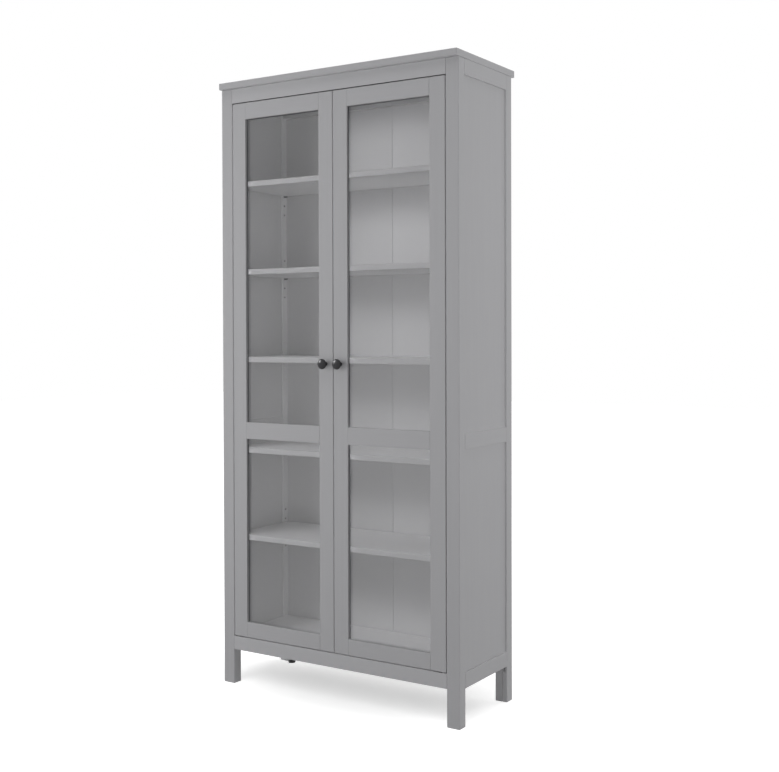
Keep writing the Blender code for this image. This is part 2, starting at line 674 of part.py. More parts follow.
def make_stiles(word, side):
    """The two uprights of a door, grooved along their inner edges for the glass and the rails' tongues."""
    door = DOOR_PIVOTS[word]
    z = (DOOR_BOTTOM, DOOR_TOP)
    groove_z = (DOOR_BOTTOM - DOOR_GAP, DOOR_TOP + DOOR_GAP)
    depth = GLASS_GROOVE_DEPTH

    hinge_x = on_side(side, PANE_OUTER, DOOR_HINGE_EDGE)
    hinge_stile = board(f"hinge_stile_{word}", hinge_x, DOOR_Y, z, GREY_PAINT, door)
    groove_x = on_side(side, PANE_OUTER - depth, PANE_OUTER + depth)
    cut(hinge_stile, block_shape(groove_x, GLASS_GROOVE_Y, groove_z))
    cut(hinge_stile, *glass_steps(side, PANE_OUTER))
    cut(hinge_stile, hinge_pocket(side, DOOR_BOTTOM), hinge_pocket(side, DOOR_TOP))
    boolean(hinge_stile, "DIFFERENCE", rods=bush_holes(side), sides=BUSH_SIDES)

    meeting_x = on_side(side, DOOR_MEETING_EDGE, PANE_INNER)
    meeting_stile = board(f"meeting_stile_{word}", meeting_x, DOOR_Y, z, GREY_PAINT, door)
    groove_x = on_side(side, PANE_INNER - depth, PANE_INNER + depth)
    cut(meeting_stile, block_shape(groove_x, GLASS_GROOVE_Y, groove_z))
    cut(meeting_stile, *glass_steps(side, PANE_INNER))
    start = Vector((side * knob_x(), -DOOR_THICKNESS, KNOB_HEIGHT))
    screw_hole = (start, Vector((0.0, DOOR_THICKNESS * 3, 0.0)), SCREW_RADIUS + SEAT_GAP)
    boolean(meeting_stile, "DIFFERENCE", rods=[screw_hole], sides=BUSH_SIDES)


def make_door_rails(word, side):
    """The three rails of a door, with tongues at their ends and grooves along the edges that hold glass."""
    door = DOOR_PIVOTS[word]
    depth = GLASS_GROOVE_DEPTH
    inner, outer = PANE_INNER, PANE_OUTER
    run_x = on_side(side, inner - depth, outer + depth)
    for level, (low, high) in door_rail_heights().items():
        x = on_side(side, inner + SEAT_GAP, outer - SEAT_GAP)
        name = f"door_{level}_rail_{word}"
        rail = board(name, x, DOOR_Y, (low, high), GREY_PAINT, door, square_ends=True)
        tongue_low = low if level == "bottom" else low + depth
        tongue_high = high if level == "top" else high - depth
        tongue_z = (tongue_low + BOARD_EASE, tongue_high - BOARD_EASE)
        join(
            rail,
            block_shape(on_side(side, inner - GLASS_BITE, inner + GLASS_BITE), GLASS_Y, tongue_z),
            block_shape(on_side(side, outer - GLASS_BITE, outer + GLASS_BITE), GLASS_Y, tongue_z),
        )
        glass_edges = [low] * (level != "bottom") + [high] * (level != "top")
        cut(rail, *(block_shape(run_x, GLASS_GROOVE_Y, (edge - depth, edge + depth)) for edge in glass_edges))
        step = GLASS_BACK_STEP
        cut(rail, *(block_shape(run_x, GLASS_BACK_Y, (edge - step, edge + step)) for edge in glass_edges))


def make_panes(word, side):
    heights = door_rail_heights()
    x = on_side(side, PANE_INNER - GLASS_BITE, PANE_OUTER + GLASS_BITE)
    for level, below, above in (("lower", "bottom", "mid"), ("upper", "mid", "top")):
        z = (heights[below][1] - GLASS_BITE, heights[above][0] + GLASS_BITE)
        board(f"{level}_pane_{word}", x, GLASS_Y, z, CLEAR_GLASS, DOOR_PIVOTS[word], ease=0.0)


def knob_x():
    """The knob's distance from the middle: halfway across the meeting stile."""
    return DOOR_MEETING_EDGE + STILE_WIDTH / 2


def knob_profile():
    """Down the outer side of the knob: a domed head, a slim neck, a flared base and the screw's bore."""
    equator = KNOB_PROJECTION - KNOB_CROWN
    crown = [math.pi / 2 * step / KNOB_ARC_POINTS for step in range(KNOB_ARC_POINTS + 1)]
    neck_turn = math.pi - math.asin(KNOB_NECK_RADIUS / KNOB_RADIUS)
    under = [
        math.pi / 2 + (neck_turn - math.pi / 2) * step / KNOB_ARC_POINTS
        for step in range(1, KNOB_ARC_POINTS + 1)
    ]
    profile = [(KNOB_RADIUS * math.sin(turn), equator + KNOB_CROWN * math.cos(turn)) for turn in crown]
    profile += [(KNOB_RADIUS * math.sin(turn), equator + KNOB_UNDERCUT * math.cos(turn)) for turn in under]
    neck_end = profile[-1][1]
    flare = KNOB_BASE_RADIUS - KNOB_NECK_RADIUS
    profile += [(KNOB_NECK_RADIUS, flare * 2), (KNOB_BASE_RADIUS, flare), (KNOB_BASE_RADIUS, 0.0)]
    bore = SCREW_RADIUS + SEAT_GAP
    bore_end = min(SCREW_BITE + GROOVE_END_ROOM, neck_end)
    return profile + [(bore, 0.0), (bore, bore_end), (0.0, bore_end)]


def make_knob(word, side):
    door = DOOR_PIVOTS[word]
    at = (side * knob_x(), -SEAT_GAP, KNOB_HEIGHT)
    turned(f"knob_{word}", knob_profile(), at, (0.0, -1.0, 0.0), DARK_METAL, door)
    shank = DOOR_THICKNESS + 2 * SEAT_GAP + SCREW_BITE
    screw = [
        (0.0, shank),
        (SCREW_RADIUS, shank),
        (SCREW_RADIUS, 0.0),
        (SCREW_HEAD_RADIUS, 0.0),
        (SCREW_HEAD_RADIUS, -SCREW_HEAD_HEIGHT / 2),
        (SCREW_HEAD_RADIUS / 2, -SCREW_HEAD_HEIGHT),
        (0.0, -SCREW_HEAD_HEIGHT),
    ]
    back = (side * knob_x(), DOOR_THICKNESS + SEAT_GAP, KNOB_HEIGHT)
    turned(f"knob_screw_{word}", screw, back, (0.0, -1.0, 0.0), BRIGHT_STEEL, door)


def make_catch():
    half = CATCH_WIDTH / 2
    y = (CATCH_FRONT, FRONT_RAIL_DEPTH)
    z = (DOORWAY_TOP - SEAT_GAP - CATCH_HEIGHT, DOORWAY_TOP - SEAT_GAP)
    board("magnetic_catch", (-half, half), y, z, PALE_PLASTIC, CABINET)


def make_strike(word, side):
    inner = DOOR_MEETING_EDGE + STRIKE_EDGE
    x = on_side(side, inner, inner + STRIKE_LENGTH)
    y = (DOOR_THICKNESS + SEAT_GAP, DOOR_THICKNESS + SEAT_GAP + STRIKE_THICKNESS)
    z = (DOOR_TOP - STRIKE_EDGE - STRIKE_HEIGHT, DOOR_TOP - STRIKE_EDGE)
    board(f"catch_strike_{word}", x, y, z, BRIGHT_STEEL, DOOR_PIVOTS[word], ease=0.0)


def make_door(word, side):
    make_stiles(word, side)
    make_door_rails(word, side)
    make_panes(word, side)
    make_knob(word, side)
    make_strike(word, side)
    make_hinge(word, side, "top", DOORWAY_TOP, DOOR_TOP)
    make_hinge(word, side, "bottom", APRON_TOP, DOOR_BOTTOM)


def main():
    make_top_panel()
    make_cross_rails()
    make_fixed_boards()
    make_loose_shelves()
    make_back()
    make_levelling_foot()
    make_catch()
    for word, side in SIDES.items():
        make_front_post(word, side)
        make_rear_post(word, side)
        make_leg_block(word, side)
        make_side_frame(word, side)
        make_door(word, side)
    bpy.context.view_layer.update()


main()
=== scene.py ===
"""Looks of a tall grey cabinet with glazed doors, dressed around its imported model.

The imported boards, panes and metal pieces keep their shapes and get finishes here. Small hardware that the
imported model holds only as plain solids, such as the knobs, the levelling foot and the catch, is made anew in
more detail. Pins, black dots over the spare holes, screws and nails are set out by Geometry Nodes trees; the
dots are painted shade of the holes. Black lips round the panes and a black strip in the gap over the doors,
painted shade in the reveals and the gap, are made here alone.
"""

from __future__ import annotations

import json
import logging
import math
from dataclasses import dataclass
from enum import Enum
from typing import Callable, Iterable

import bmesh
import bpy
from mathutils import Matrix, Vector

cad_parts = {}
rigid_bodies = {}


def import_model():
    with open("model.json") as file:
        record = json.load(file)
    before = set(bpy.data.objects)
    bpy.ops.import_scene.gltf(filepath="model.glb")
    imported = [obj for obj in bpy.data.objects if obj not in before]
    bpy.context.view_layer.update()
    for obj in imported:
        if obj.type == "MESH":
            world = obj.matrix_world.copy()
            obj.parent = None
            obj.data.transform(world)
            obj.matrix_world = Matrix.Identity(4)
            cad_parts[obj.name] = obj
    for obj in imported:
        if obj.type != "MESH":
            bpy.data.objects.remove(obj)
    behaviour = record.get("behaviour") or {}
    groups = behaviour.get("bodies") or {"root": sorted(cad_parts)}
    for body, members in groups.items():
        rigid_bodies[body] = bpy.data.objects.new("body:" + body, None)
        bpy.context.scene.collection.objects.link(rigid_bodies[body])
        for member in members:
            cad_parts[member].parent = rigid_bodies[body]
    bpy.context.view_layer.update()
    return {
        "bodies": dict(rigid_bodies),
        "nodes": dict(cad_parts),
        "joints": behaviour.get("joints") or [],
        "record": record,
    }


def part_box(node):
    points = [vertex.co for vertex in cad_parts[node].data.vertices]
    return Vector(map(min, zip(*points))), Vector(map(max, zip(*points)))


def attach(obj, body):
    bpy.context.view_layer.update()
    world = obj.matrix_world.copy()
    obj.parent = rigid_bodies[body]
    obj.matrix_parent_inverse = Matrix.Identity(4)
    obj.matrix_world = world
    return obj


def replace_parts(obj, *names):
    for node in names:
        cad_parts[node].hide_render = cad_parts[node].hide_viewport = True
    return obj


LOG = logging.getLogger("glass_door_cabinet")
CARCASS = "carcass"
SHARP_DEG = 38.0
ALONG_GRAIN = 0.035
FORWARD = Vector((0.0, -1.0, 0.0))
REARWARD = Vector((0.0, 1.0, 0.0))

Pair = tuple[float, float]
Triple = tuple[float, float, float]
Place = tuple[Vector, Vector]
Rings = list[tuple[float, list[float]]]
Inputs = dict[str | int, object]
Material = bpy.types.Material
Mesh = bpy.types.Mesh
Node = bpy.types.Node
Piece = bpy.types.Object
Shape = bmesh.types.BMesh
Socket = bpy.types.NodeSocket
Sockets = bpy.types.NodeOutputs
Tree = bpy.types.NodeTree


class Hand(Enum):
    """The side of the cabinet that a piece is on."""

    LEFT = "left"
    RIGHT = "right"

    @property
    def sign(self) -> int:
        """Minus one on the left and one on the right."""
        return -1 if self is Hand.LEFT else 1

    @property
    def door(self) -> str:
        """The body of the door on this side."""
        return f"{self.value}_door"

    def inner(self, box: tuple[Vector, Vector]) -> float:
        """The x of a box's side that faces the middle of the cabinet."""
        low, high = box
        return high.x if self is Hand.LEFT else low.x


class Grain(Enum):
    """The way that a board's grain runs, as the stretch of its pattern along x, y and z."""

    UPRIGHT = (1.0, 1.0, ALONG_GRAIN)
    ACROSS = (ALONG_GRAIN, 1.0, 1.0)
    DEEP = (1.0, ALONG_GRAIN, 1.0)


class PaintedLightTone(Enum):
    """How much lighter or darker the paint is made on a kind of board, beside the paint of the frame: painted
    light and painted shade that set each kind of board to the brightness it shows under the lamps.
    """

    FRAME = 1.0
    RAIL = 1.09
    SHELF = 1.10
    BASE = 1.22
    BACK_LEFT = 0.93
    BACK_RIGHT = 0.98


class Reach(Enum):
    """What a lamp lights."""

    ROUND = "every piece of the cabinet"
    FRONT = "the outside and the doors"
    INSIDE = "the boards behind the glass, with no shadow of the doors"
    STRIP = "the rear left post behind the glass, with no shadow of the doors"
    KNOBS = "the knobs alone"
    FLOOR = "the floor alone"


def grey(level: float) -> tuple[float, float, float, float]:
    """A neutral colour for a colour socket."""
    return (level, level, level, 1.0)


class NodeSheet:
    """A node tree with short calls to add nodes and join their sockets."""

    def __init__(self, tree: Tree) -> None:
        """Keeps the shader or Geometry Nodes tree to work on."""
        self.tree = tree

    def add(self, kind: str, inputs: Inputs | None = None, **settings: object) -> Node:
        """Adds a node.

        Args:
            kind: The node's type name.
            inputs: Values or sockets for its inputs, by name or number.
            settings: Values for the node's own properties.

        Returns:
            The new node.
        """
        node = self.tree.nodes.new(kind)
        for name, value in settings.items():
            setattr(node, name, value)
        for key, value in (inputs or {}).items():
            if isinstance(value, Socket):
                self.join(value, node.inputs[key])
            else:
                node.inputs[key].default_value = value
        return node

    def out(
        self, kind: str, inputs: Inputs | None = None, output: str | int = 0, **settings: object
    ) -> Socket:
        """Adds a node and gives one of its outputs, by name or number."""
        return self.add(kind, inputs, **settings).outputs[output]

    def join(self, source: Socket, target: Socket) -> None:
        """Links an output to an input."""
        self.tree.links.new(source, target)

    def coords(self) -> Socket:
        """Adds a Texture Coordinate node and gives the piece's own coordinates."""
        return self.out("ShaderNodeTexCoord", output="Object")

    def use(self, group: Tree, inputs: Inputs) -> Sockets:
        """Adds a shader group and gives its outputs."""
        return self.add("ShaderNodeGroup", inputs, node_tree=group).outputs

    def maths(self, operation: str, first: object, second: object = 0.0) -> Socket:
        """Adds a Math node for two numbers or sockets and gives its result."""
        return self.out("ShaderNodeMath", {0: first, 1: second}, operation=operation)

    def vector(self, **axes: object) -> Socket:
        """Joins numbers or sockets for X, Y and Z to a vector."""
        return self.out("ShaderNodeCombineXYZ", axes)

    def noise(self, vector: Socket, scale: Socket, detail: float, roughness: float) -> Socket:
        """Adds a Noise Texture node and gives its value."""
        inputs = {"Vector": vector, "Scale": scale, "Detail": detail, "Roughness": roughness}
        return self.out("ShaderNodeTexNoise", inputs, "Fac")

    def ramp(self, value: Socket, span: Pair, low: object, high: object, **settings: object) -> Socket:
        """Adds a Map Range node that takes the ends of a span to low and high."""
        inputs = {"Value": value, "From Min": span[0], "From Max": span[1], "To Min": low, "To Max": high}
        return self.out("ShaderNodeMapRange", inputs, "Result", **settings)

    def mix(self, mask: Socket, first: Node, second: Node) -> Socket:
        """Adds a Mix Shader node between two shaders and gives its result."""
        return self.out("ShaderNodeMixShader", {0: mask, 1: first.outputs[0], 2: second.outputs[0]})


def new_group(name: str, kind: str, inputs: dict[str, str | float], outputs: dict[str, str]) -> Tree:
    """Makes an empty node group with named sockets.

    Args:
        name: The group's name.
        kind: ShaderNodeTree or GeometryNodeTree.
        inputs: The default of each number, and the socket type of each other input.
        outputs: Socket type of each output.

    Returns:
        The group.
    """
    group = bpy.data.node_groups.new(name, kind)
    for label, given in inputs.items():
        kind_word = given if isinstance(given, str) else "Float"
        socket = group.interface.new_socket(label, in_out="INPUT", socket_type=f"NodeSocket{kind_word}")
        if not isinstance(given, str):
            socket.default_value = given
    for label, kind_word in outputs.items():
        group.interface.new_socket(label, in_out="OUTPUT", socket_type=f"NodeSocket{kind_word}")
    return group


class SharedEffects:
    """Shader groups that more than one finish uses, each built once."""

    STREAK_SHARE = 0.65
    MIDDLE = 0.5

    def __init__(self) -> None:
        """Builds the groups."""
        self.grain = self._grain()
        self.film = self._film()

    def _swing(self, sheet: NodeSheet, pattern: Socket, spread: Socket) -> Socket:
        """Centres a pattern on zero and scales it."""
        return sheet.maths("MULTIPLY", sheet.maths("SUBTRACT", pattern, self.MIDDLE), spread)

    def _grain(self) -> Tree:
        """Wood grain under paint: long soft streaks and fine pores along the grain.

        Returns:
            A group with the tone and the relief of the painted grain.
        """
        inputs = {"Vector": "Vector", "Streaks": 70.0, "Pores": 420.0, "Tone Spread": 0.05}
        group = new_group("painted_grain", "ShaderNodeTree", inputs, {"Tone": "Float", "Relief": "Float"})
        sheet = NodeSheet(group)
        given = sheet.add("NodeGroupInput").outputs
        streaks = sheet.noise(given["Vector"], given["Streaks"], detail=4.0, roughness=0.55)
        pores = sheet.noise(given["Vector"], given["Pores"], detail=2.0, roughness=0.5)
        long_part = sheet.maths("MULTIPLY", streaks, self.STREAK_SHARE)
        fine_part = sheet.maths("MULTIPLY", pores, 1.0 - self.STREAK_SHARE)
        mixed = sheet.maths("ADD", long_part, fine_part)
        tone = sheet.maths("ADD", self._swing(sheet, mixed, given["Tone Spread"]), 1.0)
        sheet.add("NodeGroupOutput", {"Tone": tone, "Relief": mixed})
        return group

    def _film(self) -> Tree:
        """Unevenness of a sprayed, moulded or handled surface.

        Returns:
            A group with the roughness, the fine relief and the cloudiness of the film.
        """
        scales = {"Cloud Scale": 9.0, "Peel Scale": 900.0}
        inputs = {"Vector": "Vector", **scales, "Roughness": 0.4, "Spread": 0.1}
        outputs = {"Roughness": "Float", "Peel": "Float", "Cloud": "Float"}
        group = new_group("surface_film", "ShaderNodeTree", inputs, outputs)
        sheet = NodeSheet(group)
        given = sheet.add("NodeGroupInput").outputs
        cloud = sheet.noise(given["Vector"], given["Cloud Scale"], detail=5.0, roughness=0.6)
        peel = sheet.noise(given["Vector"], given["Peel Scale"], detail=1.0, roughness=0.5)
        rough = sheet.maths("ADD", self._swing(sheet, cloud, given["Spread"]), given["Roughness"])
        sheet.add("NodeGroupOutput", {"Roughness": rough, "Peel": peel, "Cloud": cloud})
        return group


@dataclass(frozen=True)
class BaseMaterial:
    """A new material with its sheet and its Principled BSDF."""

    material: Material
    sheet: NodeSheet
    shader: Node

    @classmethod
    def named(cls, name: str) -> BaseMaterial:
        """Makes the material.

        Args:
            name: The material's name.

        Returns:
            The material with its parts.
        """
        material = bpy.data.materials.new(name)
        material.use_nodes = True
        tree = material.node_tree
        return cls(material, NodeSheet(tree), tree.nodes["Principled BSDF"])

    def cover(self, colour: Triple, tone: Socket, rough: Socket, height: Socket, relief: float) -> None:
        """Joins a finish to the shader.

        Args:
            colour: The finish's colour.
            tone: What the colour is multiplied by.
            rough: The roughness.
            height: The pattern of the relief.
            relief: The height of the relief.
        """
        tint = self.sheet.out("ShaderNodeVectorMath", {0: colour, 3: tone}, operation="SCALE")
        bump = self.sheet.out("ShaderNodeBump", {"Height": height, "Distance": relief, "Strength": 1.0})
        for source, target in ((tint, "Base Color"), (rough, "Roughness"), (bump, "Normal")):
            self.sheet.join(source, self.shader.inputs[target])

    def show(self, surface: Socket) -> None:
        """Gives the material another surface than the bare shader."""
        self.sheet.join(surface, self.material.node_tree.nodes["Material Output"].inputs["Surface"])


@dataclass(frozen=True)
class GreyPaint:
    """Satin grey paint on wood whose grain still shows faintly."""

    effects: SharedEffects
    colour: Triple = (0.3255, 0.3242, 0.3352)
    roughness: float = 0.44
    gloss_spread: float = 0.12
    tone_spread: float = 0.10
    relief: float = 0.00016
    peel_share: float = 0.15
    # near white as seen by diffuse rays: painted light between the boards
    bounce: float = 0.98
    # painted shade on the front edges of the upper shelves, darker towards the top
    painted_edge_shade: float = 0.25
    edge_heights: Pair = (0.75, 1.5)
    shelf_front: Pair = (-0.124, -0.1232)

    def material(self, grain: Grain, painted_light_tone: PaintedLightTone) -> Material:
        """Makes the paint on one kind of board.

        Args:
            grain: The way that the grain runs.
            painted_light_tone: The kind of board, whose paint is made lighter or darker as painted light and
                painted shade.

        Returns:
            The material.
        """
        base = BaseMaterial.named(f"grey_paint_{painted_light_tone.name.lower()}_{grain.name.lower()}")
        sheet = base.sheet
        coords = sheet.coords()
        along = sheet.out("ShaderNodeMapping", {"Vector": coords, "Scale": grain.value})
        figure = sheet.use(self.effects.grain, {"Vector": along, "Tone Spread": self.tone_spread})
        gloss = {"Vector": coords, "Roughness": self.roughness, "Spread": self.gloss_spread}
        film = sheet.use(self.effects.film, gloss)
        tone = figure["Tone"]
        # shelves get painted shade on the front edges of the upper ones
        if painted_light_tone is PaintedLightTone.SHELF:
            tone = sheet.maths("ADD", tone, self._painted_shelf_edge_shade(sheet, coords))
        # painted light and painted shade: the paint is made lighter or darker by the kind of board
        colour = tuple(part * painted_light_tone.value for part in self.colour)
        height = sheet.maths("ADD", figure["Relief"], sheet.maths("MULTIPLY", film["Peel"], self.peel_share))
        base.cover(colour, tone, film["Roughness"], height, self.relief)
        # diffuse rays see the paint near white: painted light that brightens the shade between the boards
        pale = sheet.add("ShaderNodeBsdfDiffuse", {"Color": grey(self.bounce)})
        between = sheet.out("ShaderNodeLightPath", output="Is Diffuse Ray")
        base.show(sheet.mix(between, base.shader, pale))
        return base.material

    def _painted_shelf_edge_shade(self, sheet: NodeSheet, coords: Socket) -> Socket:
        """Paints shade on the front edges of the upper shelves, which are nearest to the lamps, more towards
        the top.

        Args:
            sheet: The tree that the nodes go into.
            coords: The piece's own coordinates.

        Returns:
            What to add to the tone.
        """
        axes = sheet.add("ShaderNodeSeparateXYZ", {"Vector": coords}).outputs
        drop = sheet.ramp(axes["Z"], self.edge_heights, 0.0, -self.painted_edge_shade)
        return sheet.ramp(axes["Y"], self.shelf_front, drop, 0.0)


@dataclass(frozen=True)
class PaneGlass:
    """Clear float glass that lets the light into the cabinet."""

    effects: SharedEffects
    tint: Triple = (0.976, 0.976, 0.977)
    let_through: float = 0.94
    ior: float = 1.46
    cloud_scale: float = 5.0
    roughness: float = 0.006
    spread: float = 0.012

    def material(self) -> Material:
        """Makes the glass.

        Returns:
            The material.
        """
        base = BaseMaterial.named("clear_glass")
        sheet, inputs = base.sheet, base.shader.inputs
        inputs["Base Color"].default_value = (*self.tint, 1.0)
        inputs["Transmission Weight"].default_value = 1.0
        inputs["IOR"].default_value = self.ior
        gloss = {"Cloud Scale": self.cloud_scale, "Roughness": self.roughness, "Spread": self.spread}
        film = sheet.use(self.effects.film, {"Vector": sheet.coords(), **gloss})
        sheet.join(film["Roughness"], inputs["Roughness"])
        clear = sheet.add("ShaderNodeBsdfTransparent", {"Color": grey(self.let_through)})
        shadow = sheet.out("ShaderNodeLightPath", output="Is Shadow Ray")
        base.show(sheet.mix(shadow, base.shader, clear))
        return base.material


@dataclass(frozen=True)
class FilmFinish:
    """A plain finish whose gloss and colour waver a little: lacquered metal, zinc or moulded plastic."""

    effects: SharedEffects
    name: str
    colour: Triple
    roughness: float
    metallic: float = 0.0
    cloud_scale: float = 60.0
    peel_scale: float = 2500.0
    spread: float = 0.15
    relief: float = 0.00003
    tone_low: float = 0.85
    tone_swing: float = 0.3

    def material(self) -> Material:
        """Makes the finish.

        Returns:
            The material.
        """
        base = BaseMaterial.named(self.name)
        sheet = base.sheet
        base.shader.inputs["Metallic"].default_value = self.metallic
        scales = {"Cloud Scale": self.cloud_scale, "Peel Scale": self.peel_scale}
        gloss = {"Roughness": self.roughness, "Spread": self.spread}
        film = sheet.use(self.effects.film, {"Vector": sheet.coords(), **scales, **gloss})
        tone = sheet.maths("ADD", sheet.maths("MULTIPLY", film["Cloud"], self.tone_swing), self.tone_low)
        base.cover(self.colour, tone, film["Roughness"], film["Peel"], self.relief)
        return base.material


class Finishes:
    """All finishes of the cabinet."""

    def __init__(self) -> None:
        """Makes the shared effects and the materials, apart from the paints."""
        effects = SharedEffects()
        self._mixed = GreyPaint(effects)
        self._paints: dict[tuple[Grain, PaintedLightTone], Material] = {}
        self.glass = PaneGlass(effects).material()
        self.knob = FilmFinish(effects, "anthracite_lacquer", (0.014, 0.014, 0.016), 0.30, 0.35).material()
        self.zinc = FilmFinish(effects, "zinc_plate", (0.55, 0.55, 0.54), 0.32, 1.0).material()
        self.black = FilmFinish(effects, "black_plastic", (0.012, 0.012, 0.013), 0.5).material()
        # near black for the lips and strip that stand in for shade: painted shade
        self.shade_black = FilmFinish(effects, "painted_shade_black", (0.008, 0.008, 0.009), 0.6).material()
        self.pale = FilmFinish(effects, "pale_plastic", (0.60, 0.60, 0.58), 0.5).material()

    def paint(self, grain: Grain, painted_light_tone: PaintedLightTone) -> Material:
        """Gives the paint on one kind of board, made when it is first asked for."""
        if (grain, painted_light_tone) not in self._paints:
            self._paints[grain, painted_light_tone] = self._mixed.material(grain, painted_light_tone)
        return self._paints[grain, painted_light_tone]


@dataclass(frozen=True)
class CameraFit:
    """The photograph's camera, as fitted to the cabinet's edges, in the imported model's frame."""

    position: Triple = (2.10728, -3.05952, 1.15633)
    yaw_deg: float = 32.3006
    pitch_deg: float = -0.7236
    roll_deg: float = -0.1466
    focal_px: float = 1155.91
    centre_px: Pair = (408.06, 346.35)
    image_px: tuple[int, int] = (779, 772)
    sensor_mm: float = 36.0

    def build(self) -> None:
        """Makes the camera and gives it to the scene."""
        yaw = math.radians(self.yaw_deg)
        pitch = math.radians(self.pitch_deg)
        roll = math.radians(self.roll_deg)
        level = Vector((-math.sin(yaw), math.cos(yaw), 0.0))
        right = Vector((math.cos(yaw), math.sin(yaw), 0.0))
        up = Vector((0.0, 0.0, 1.0))
        ahead = level * math.cos(pitch) + up * math.sin(pitch)
        tilted = up * math.cos(pitch) - level * math.sin(pitch)
        across = right * math.cos(roll) + tilted * math.sin(roll)
        above = tilted * math.cos(roll) - right * math.sin(roll)
        turn = Matrix((across, above, -ahead)).transposed().to_4x4()
        data = bpy.data.cameras.new("photo_camera")
        camera = bpy.data.objects.new("photo_camera", data)
        bpy.context.scene.collection.objects.link(camera)
        camera.matrix_world = Matrix.Translation(self.position) @ turn
        width, height = self.image_px
        data.sensor_width = self.sensor_mm
        data.lens = self.focal_px * self.sensor_mm / width
        data.shift_x = (width / 2 - self.centre_px[0]) / width
        data.shift_y = (self.centre_px[1] - height / 2) / width
        bpy.context.scene.camera = camera


@dataclass(frozen=True)
class LitPieces:
    """The pieces that lamps tell apart."""

    inside: list[Piece]
    strip: list[Piece]
    doors: list[Piece]
    knobs: list[Piece]
    floor: list[Piece]

    @staticmethod
    def group(name: str, pieces: Iterable[Piece], state: str) -> bpy.types.Collection:
        """Puts pieces in a collection that a lamp includes or leaves out.

        Args:
            name: The collection's name.
            pieces: The objects in it.
            state: INCLUDE or EXCLUDE.

        Returns:
            The collection.
        """
        collection = bpy.data.collections.new(name)
        for piece in pieces:
            collection.objects.link(piece)
        for link in collection.collection_objects:
            link.light_linking.link_state = state
        return collection


@dataclass(frozen=True)
class SoftBox:
    """A soft rectangular studio lamp."""

    name: str
    position: Triple
    target: Triple
    size: Pair
    power: float
    reach: Reach = Reach.ROUND
    in_gloss: bool = False

    def build(self, stage: LitPieces) -> None:
        """Makes the lamp.

        Args:
            stage: The pieces that lamps tell apart.
        """
        data = bpy.data.lights.new(self.name, "AREA")
        data.shape = "RECTANGLE"
        data.size, data.size_y = self.size
        data.energy = self.power
        lamp = bpy.data.objects.new(self.name, data)
        bpy.context.scene.collection.objects.link(lamp)
        aim = Vector(self.target) - Vector(self.position)
        lamp.rotation_mode = "QUATERNION"
        lamp.rotation_quaternion = aim.to_track_quat("-Z", "Y")
        lamp.location = self.position
        lamp.visible_camera = False
        lamp.visible_transmission = False
        lamp.visible_glossy = self.in_gloss
        self._link(lamp, stage)

    def _link(self, lamp: Piece, stage: LitPieces) -> None:
        """Tells the lamp what it lights and what throws its shadow.

        Args:
            lamp: The lamp object.
            stage: The pieces that lamps tell apart.
        """
        links = lamp.light_linking
        spared = {Reach.ROUND: stage.floor, Reach.FRONT: stage.floor + stage.inside}
        lit = {
            Reach.INSIDE: stage.inside,
            Reach.STRIP: stage.strip,
            Reach.KNOBS: stage.knobs,
            Reach.FLOOR: stage.floor,
        }
        if self.reach in spared:
            links.receiver_collection = stage.group(f"{self.name}_spares", spared[self.reach], "EXCLUDE")
        else:
            links.receiver_collection = stage.group(f"{self.name}_lights", lit[self.reach], "INCLUDE")
        if self.reach in (Reach.INSIDE, Reach.STRIP):
            links.blocker_collection = stage.group(f"{self.name}_passes", stage.doors, "EXCLUDE")


